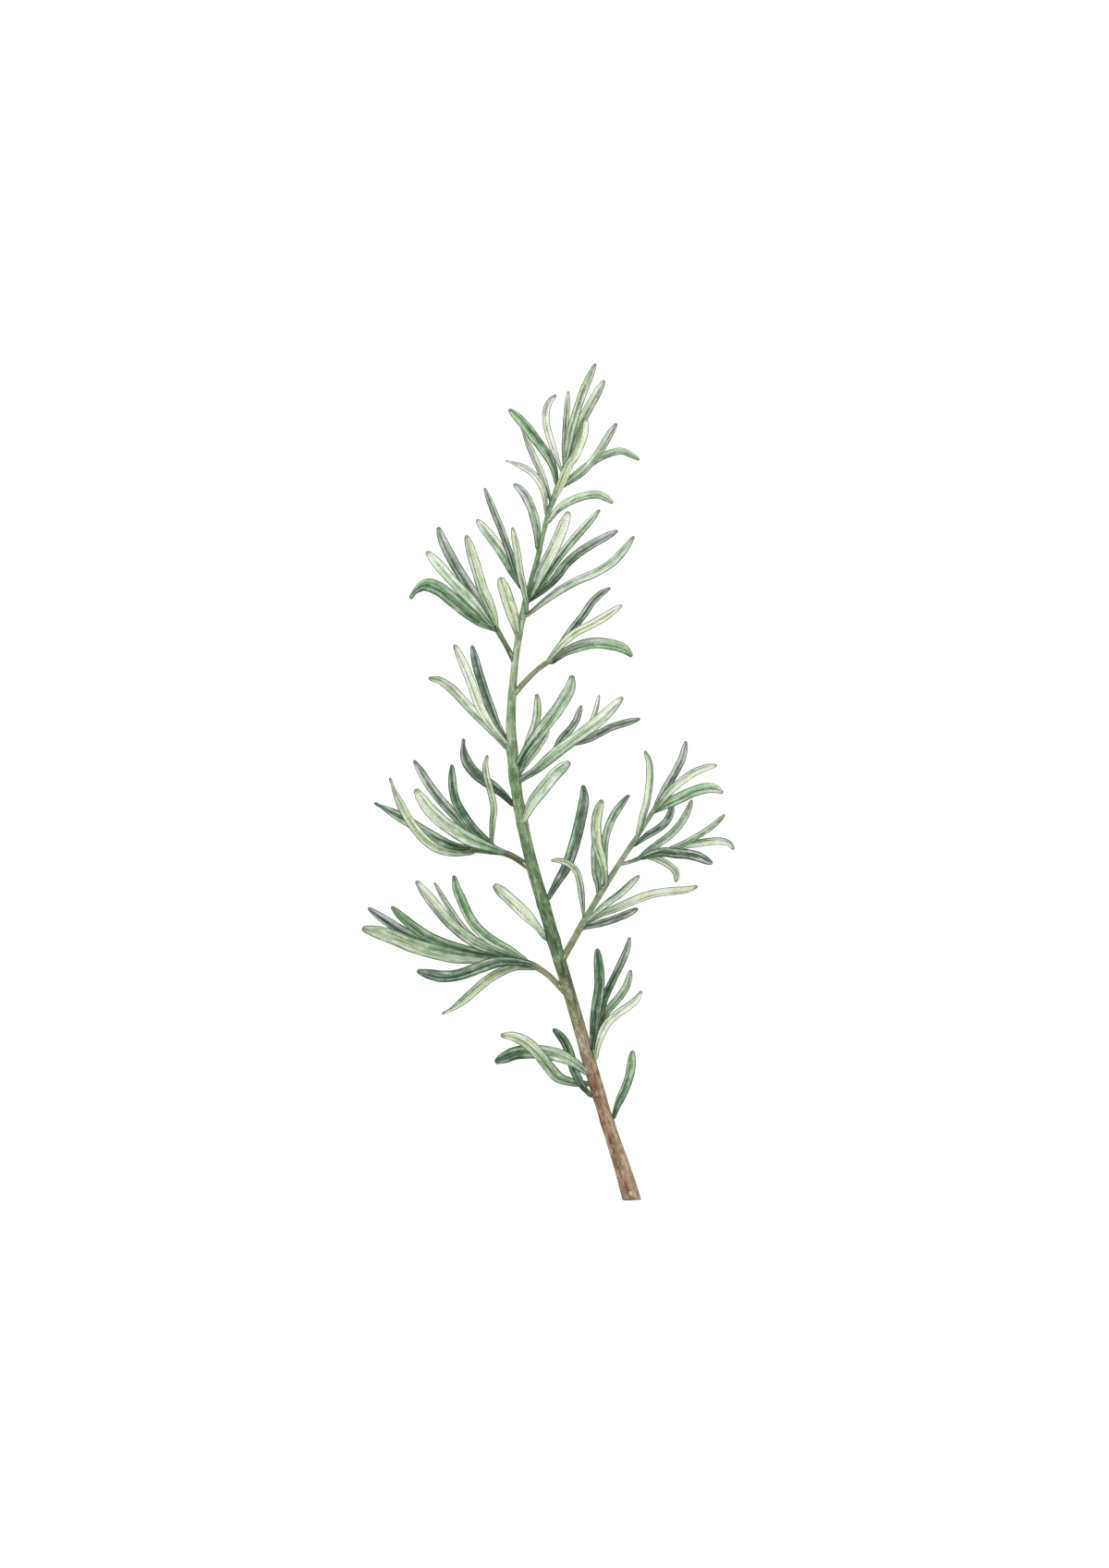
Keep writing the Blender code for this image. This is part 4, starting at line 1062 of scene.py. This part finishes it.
# %% The tree that makes bark
def bark_tree():
    maker, given = new_shape("bark from its rail", {
        "Sides": ("NodeSocketInt", 28),
        "Ridge depth": ("NodeSocketFloat", 0.10),
        "Lumpiness": ("NodeSocketFloat", 0.07),
        "Squareness": ("NodeSocketFloat", 0.05),
        "Cut upwards": ("NodeSocketFloat", 0.10),
        "Cut sideways": ("NodeSocketFloat", -0.26),
        "Material": ("NodeSocketMaterial", None),
    })
    shape = swept_ring(maker, given)
    angle, radius, rough, cut, distance = noted(maker, "angle girth rough cut distance")
    spine, right, above, run = ring_directions(maker)
    cosine = maker.maths("COSINE", angle)
    sine = maker.maths("SINE", angle)

    # Ridges run along the bark, and lumps are about as long as they are wide.
    ridges = maker.noise(maker.spot(cosine * 2.2, sine * 2.2, distance * 0.10), 1.6, 4.0, 0.6)
    lumps = maker.noise(maker.spot(cosine * 0.8, sine * 0.8, distance * 0.45))
    square = maker.maths("COSINE", angle * 4.0) * given["Squareness"] * (1 - rough)
    depth = given["Ridge depth"] * (0.35 + 0.65 * rough)
    reach = radius * (1 + depth * (ridges - 0.62) + given["Lumpiness"] * (lumps - 0.5) + square)
    slant = run * ((sine * given["Cut upwards"] + cosine * given["Cut sideways"]) * reach * cut)

    shape = note(maker, shape, "ridge", "FLOAT", ridges)
    places = spine + right * (cosine * reach) + above * (sine * reach) + slant
    finish_tree(maker, shape, places, given["Material"])
    return maker.tree


bark_shape = bark_tree()
print(f"the bark's tree has {len(bark_shape.nodes)} nodes")

# %% [markdown]
# ## The finish of bark
#
# Bark is coloured as a leaf is, from two washes and the pigment on each spot, but its patterns are wrapped
# round the shoot. Its two sides, as seen from above, are darkened as painted shade, its cracks are dark, and
# its knobs get painted shade where the leaves grow out.
# Here and there the old bark has flecks. Near the cut it has a painted highlight, a pale glint, and a pale
# strip runs along its right side. The cut itself shows pale wood with rings, round a soft pith, inside a rim
# of bark.

# %% Bark finish
BARK_PIGMENT = 1.08             # of a plain spot, and then its least and its most
BARK_PIGMENT_ENDS = 0.62, 2.2
SIDE_SHADE_COLOUR = (0.026, 0.028, 0.022)
CRACK_SHADE, KNOB_SHADE = (0.45, 0.42, 0.40), (0.50, 0.50, 0.46)
FLECK, GLINT_AND_STRIP_COLOUR = (0.66, 0.56, 0.42, 1.0), (0.66, 0.55, 0.40, 1.0)
CUT_WOOD, CUT_RING, PITH = (0.60, 0.47, 0.30, 1.0), (0.42, 0.30, 0.18, 1.0), (0.72, 0.62, 0.44, 1.0)
GLINT_AT, PALE_STRIP_TO = 2.2, (58.0, 40.0)    # in millimetres from the cut


def cut_wood(maker, radial, blotches, grain, bark):
    """The colour of the cut: wood with rings, round a pith, inside a rim of bark."""
    rings = maker.maths("SINE", radial * 26.0 + (blotches - 0.5) * 5.0)
    colour = mixed(maker, 0.30 + 0.22 * rings, CUT_WOOD, CUT_RING)
    colour = mixed(maker, maker.step(radial, 0.26, 0.16) * 0.7, colour, PITH) * (0.8 + grain * 0.4)
    return mixed(maker, maker.step(radial, 0.80, 0.90), colour, bark * 0.7)


def bark_finish(name):
    material, maker = new_finish(name)
    angle, distance, ridge, rough, knob, face, radial = read(
        maker, "angle distance ridge rough knob cut_face radial")
    left_wash, right_wash = read(maker, "left_wash right_wash", "Color")
    place = maker.add("ShaderNodeTexCoord", output="Object")
    cosine = maker.maths("COSINE", angle)
    sine = maker.maths("SINE", angle)

    strokes = maker.noise(maker.spot(cosine * 1.6, sine * 1.6, distance * 0.28), 1.0, 2.0, 0.5)
    streaks = maker.noise(maker.spot(cosine * 4.5, sine * 4.5 + 7.0, distance * 0.55), 1.0, 4.0, 0.68)
    blotches = maker.noise(place, 330.0, 3.0, 0.6)
    grain = maker.noise(place, 2400.0, 3.0, 0.6)

    side = maker.step(cosine + (blotches - 0.5) * 1.2, -0.35, 0.35)
    pigment = BARK_PIGMENT + (strokes - 0.5) * 1.6 + (streaks - 0.5) * 1.8 + (blotches - 0.5) * 1.4
    pigment = maker.kept_between(pigment, *BARK_PIGMENT_ENDS)
    wash = richer(maker, mixed(maker, side, left_wash, right_wash), pigment) * (0.5 + grain)

    # Painted shade darkens the two sides of a shoot as seen from above, and its knobs where leaves grow out.
    # Cracks are darker, and flecks are paler.
    edge = maker.step(abs(cosine) + (streaks - 0.5) * 0.2, 0.84, 0.99)
    wash = mixed(maker, edge * 0.75, wash, wash * 0.22 + SIDE_SHADE_COLOUR)
    cracks = maker.step(ridge, 0.50, 0.36) * (0.35 + 0.65 * rough)
    wash = mixed(maker, cracks * 0.60, wash, wash * CRACK_SHADE)
    knob_shade = maker.step(knob + (blotches - 0.5) * 0.4, 0.70, 0.95)
    wash = mixed(maker, knob_shade * 0.45, wash, wash * KNOB_SHADE)
    flecks = maker.step(grain * blotches, 0.335, 0.40) * rough
    wash = mixed(maker, flecks * 0.55, wash, FLECK)

    # A painted highlight, a pale glint on the bark near the cut, and a pale strip along the right side of
    # the lower stem.
    painted_glint = maker.bell(distance - GLINT_AT, 0.75) * maker.bell(cosine - 0.10, 0.22)
    painted_glint = painted_glint * maker.step(sine, 0.0, 0.2)
    pale_strip = maker.bell(cosine - 0.50 + (strokes - 0.5) * 0.8, 0.13) * maker.step(distance, *PALE_STRIP_TO)
    glint_and_strip = maker.step(painted_glint + (grain - 0.5) * 0.5, 0.30, 0.60) + pale_strip * maker.step(streaks, 0.40, 0.55) * 0.7
    wash = mixed(maker, maker.maths("MINIMUM", glint_and_strip, 1.0) * 0.8, wash, GLINT_AND_STRIP_COLOUR)

    colour = mixed(maker, face, wash, cut_wood(maker, radial, blotches, grain, wash))
    relief = streaks * 0.8 + grain * (0.25 + 0.35 * rough) + blotches * 0.3
    grown_surface(maker, colour, 0.62 + 0.2 * rough + (grain - 0.5) * 0.2, relief, 0.6, 0.16 * MM)
    return material


for bark_name in ("stem_wood", "stem_green"):
    finishes[bark_name] = bark_finish(bark_name)
print(f"two bark finishes, of {len(finishes['stem_wood'].node_tree.nodes)} nodes each")

# %% [markdown]
# ## Rails of the stem and shoots
#
# A shoot's rail has a ring every half millimetre or so, and where the rail of a leaf begins on it, the rings
# swell into a knob. Both ends are closed by rings that shrink to a point. The end of a shoot is rounded, its
# foot is flat, because it is inside another shoot, and the stem's cut is flat inside a bevelled rim.

# %% Knobs and closed ends
KNOB = 0.09                     # how much the bark swells where a leaf grows, as a share of the radius
KNOB_LENGTH = 1.4               # in millimetres
KNOB_FLATNESS = 0.2
KNOB_NEAR = 0.3                 # how far from the bark a leaf may begin and still have its knob on it
MOST_SWOLLEN = 1.4              # the most that neighbouring knobs can swell the bark together, in knobs

# The rings of an end: how far on each one lies and how wide it is, as shares of the end's length and radius.
END_RINGS = np.array([(0.10, 0.995), (0.35, 0.93), (0.62, 0.78), (0.85, 0.5), (1.0, 0.0)])
FOOT_RINGS = np.array([(0.0, 0.0), (0.0, 0.5)])
CUT_RINGS = np.array([(0.0, 0.0), (0.0, 0.15), (0.0, 0.3), (0.0, 0.45), (0.0, 0.6), (0.0, 0.75),
                      (0.01, 0.84), (0.05, 0.91), (0.13, 0.965)])


def swollen(places, plain, distance):
    """The radii with their knobs, and how much of a knob there is at each ring."""
    radius = plain.copy()
    knob = np.zeros(len(places))
    for found in rails.values():
        for leaf_knots in found:
            gap = np.linalg.norm(places - leaf_knots[0][0], axis=1)
            near = gap.argmin()
            if gap[near] < radius[near] + KNOB_NEAR:
                bell = np.exp(-((distance - distance[near]) / KNOB_LENGTH) ** 2)
                radius += KNOB * plain * bell * (1 - bell * KNOB_FLATNESS)
                knob = np.maximum(knob, bell)
    return np.minimum(radius, plain * (1 + MOST_SWOLLEN * KNOB)), knob


def closed(values, starts):
    """Adds values for the rings that close the two ends: those of the first ring and the last."""
    first = np.repeat(values[:1], starts, axis=0)
    last = np.repeat(values[-1:], len(END_RINGS), axis=0)
    return np.concatenate([first, values, last])


print(f"an end is closed by {len(END_RINGS)} rings, and the cut by {len(CUT_RINGS)}")

# %% The rail of one shoot
RING_GAP, MORE_RINGS = 0.55, 12         # millimetres from ring to ring, and how many rings are added
CUT_BEYOND = 0.7                # how far the cut lies beyond the frame's last ring, in millimetres
CUT_RIM = 0.26                  # how far behind the cut its rim ends, in radii
CUT_LEAN = 3.0                  # how far from the cut the rings still lean with it, in millimetres
END_LENGTH = 0.9                # of a rounded end, in radii. The other ends' lengths are one radius.
WOOD_FROM, WOOD_OVER = -45, 20  # where along the sprig the bark begins to roughen, and over what length
BARK = {                        # washes of the left half and the right half, from the foot to the end
    "stem": (
        "umber umber umber russet russet khaki bronze twig deep_green deep_green bark_green deep_green "
        "fern fern fern celery sage celery sage celery fern spring jade mint",
        "tan tan tan tan umber tan khaki loam deep_green bark_green bark_green bark_green "
        "sage bark_green celery sage sage sage celery fern bark_green celery celery mint"),
    "growing_tip": ("spring celery", "celery celery"),
    "shoot_left_high": ("deep_green deep_green deep_green", "deep_green twig deep_green"),
    "shoot_right_high": ("sage bronze bronze sage", "twig bronze twig sage"),
    "shoot_right_mid": ("fern sage spring spring", "deep_green fern spring spring"),
    "shoot_left_low": ("deep_green loam deep_green slate", "deep_green deep_green twig deep_green"),
    "shoot_left_bottom": ("bronze bronze twig jade", "twig khaki deep_green deep_green"),
    "shoot_right_fork": ("bronze sage sage sage", "twig sage sage sage"),
    "shoot_right_fork_side": ("sage slate jade moss", "sage grey jade moss"),
    "shoot_right_low": ("umber loam sage sage", "umber twig sage sage"),
}


def bark_rail(name, knots, left, right):
    """The rail mesh of a shoot or the stem."""
    knots = np.array(knots, float)
    wood = name == "stem"
    if wood:
        knots[0, :3] += CUT_BEYOND * unit(knots[0, :3] - knots[1, :3])
    length = smooth(knots, [0, 1])[1]
    shares = np.linspace(0, 1, int(length / RING_GAP) + MORE_RINGS)
    fine, _ = smooth(knots, shares)
    places = fine[:, :3]
    distance = shares * length
    radius, knob = swollen(places, fine[:, 3], distance)
    run = unit(np.gradient(places, axis=0))
    across = unit(np.cross(run, (0, 0, 1)))
    rough = cut = np.zeros(len(shares))
    if wood:
        rough = np.clip((WOOD_FROM - places[:, 1]) / WOOD_OVER, 0, 1)
        cut = np.clip(1 - distance / CUT_LEAN, 0, 1) ** 1.5

    start = CUT_RINGS if wood else FOOT_RINGS
    starts, ends = len(start), len(END_RINGS)
    to_start, to_end = run[0] * radius[0], run[-1] * radius[-1] * END_LENGTH
    every_place = closed(places, starts)
    every_place[:starts] += to_start * start[:, :1]
    every_place[-ends:] += to_end * END_RINGS[:, :1]
    if wood:
        every_place[starts] += to_start * CUT_RIM
    radial = np.ones(len(every_place))
    radial[:starts] = start[:, 1]
    girth = closed(radius, starts) * radial
    girth[-ends:] *= END_RINGS[:, 1]
    face = np.zeros(len(every_place))
    face[:starts] = float(wood)
    every_share = closed(shares, starts)
    return line_mesh(name, every_place, {
        "girth": girth * MM,
        "run": closed(run, starts),
        "right": closed(across, starts),
        "rough": closed(rough, starts),
        "knob": closed(knob, starts),
        "cut": closed(cut, starts),
        "cut_face": face,
        "radial": radial,
        "distance": every_share * length,
        "left_wash": washed(left, every_share),
        "right_wash": washed(right, every_share),
    })


print(f"{len(BARK)} shoots, with washes for the left half and the right half of each")

# %% Bark
STEM_SIDES, SHOOT_SIDES = 36, 20

for shoot, (left, right) in BARK.items():
    sides, finish = (STEM_SIDES, "stem_wood") if shoot == "stem" else (SHOOT_SIDES, "stem_green")
    rail = bark_rail(shoot, ROUTES[shoot], left, right)
    inputs = {"Material": finishes[finish], "Sides": sides}
    bark, open_edges = made_solid(f"{shoot}_bark", rail, bark_shape, inputs)
    pieces.append((bark, shoot, finish))
    print(f"{bark.name}: {len(bark.data.polygons)} faces, {open_edges} open edges")

# %% [markdown]
# ## Riding, and hiding the solids
#
# Nothing on a sprig moves on its own, so every piece rides on the one body. Each piece stands for the solid
# that it was read from, and that solid is hidden. Its finish was set by the tree that made it.

# %% Ride on the body, and hide the solids
for piece, node, slot in pieces:
    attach(piece, "root")
    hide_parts(node)
triangles = sum(len(face.vertices) - 2 for piece, _, _ in pieces for face in piece.data.polygons)
print(f"{len(pieces)} pieces, {triangles} triangles")

# %% [markdown]
# ## Table and light
#
# The sprig lies on a plain, almost white table, in soft light from all sides, as by a window on a dull day.
# The sky gives most of the light, and one large panel above gives the leaves a little shape.

# %% Table and light
TABLE_REACH = 3.0               # in metres, as the panel's size and place are
TABLE_GLOW = 0.72
SKY_STRENGTH = 0.78
PANEL_SIZE, PANEL_WATTS, PANEL_PLACE = 1.2, 9.0, (-0.7, 0.6, 1.3)


def plain_floor():
    mesh = bpy.data.meshes.new("table")
    reach = TABLE_REACH
    mesh.from_pydata([(-reach, -reach, 0), (reach, -reach, 0), (reach, reach, 0), (-reach, reach, 0)],
                     [], [(0, 1, 2, 3)])
    material, maker = new_finish("table")
    surface(maker, {
        "Base Color": (0.50, 0.50, 0.50, 1.0),
        "Roughness": 0.9,
        "Specular IOR Level": 0.0,
        "Emission Color": (1.0, 1.0, 1.0, 1.0),
        "Emission Strength": TABLE_GLOW,
    })
    mesh.materials.append(material)
    table = bpy.data.objects.new("table", mesh)
    bpy.context.scene.collection.objects.link(table)
    return table


table = plain_floor()
table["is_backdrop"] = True

world = bpy.data.worlds.new("sky")
world.use_nodes = True
sky = world.node_tree.nodes["Background"]
sky.inputs["Color"].default_value = (1, 1, 1, 1)
sky.inputs["Strength"].default_value = SKY_STRENGTH
bpy.context.scene.world = world

panel = bpy.data.lights.new("panel", "AREA")
panel.shape = "SQUARE"
panel.size = PANEL_SIZE
panel.energy = PANEL_WATTS
panel_object = bpy.data.objects.new("panel", panel)
panel_object.location = PANEL_PLACE
panel_object.rotation_euler = (Vector((0, 0, 0)) - panel_object.location).to_track_quat("-Z", "Y").to_euler()
bpy.context.scene.collection.objects.link(panel_object)
bpy.context.scene.view_settings.view_transform = "Standard"
print("the table and the light are set")

# %% [markdown]
# ## Sizes
#
# The finished sprig must fill the same box as the frame, to within a fraction of a millimetre. Both boxes
# are printed, in millimetres, so that they can be compared.

# %% Sizes, and the end
visual_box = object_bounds()
for label, box in (("frame", cad_box), ("finished", visual_box)):
    print(label, [[round(value / MM, 2) for value in corner] for corner in box])
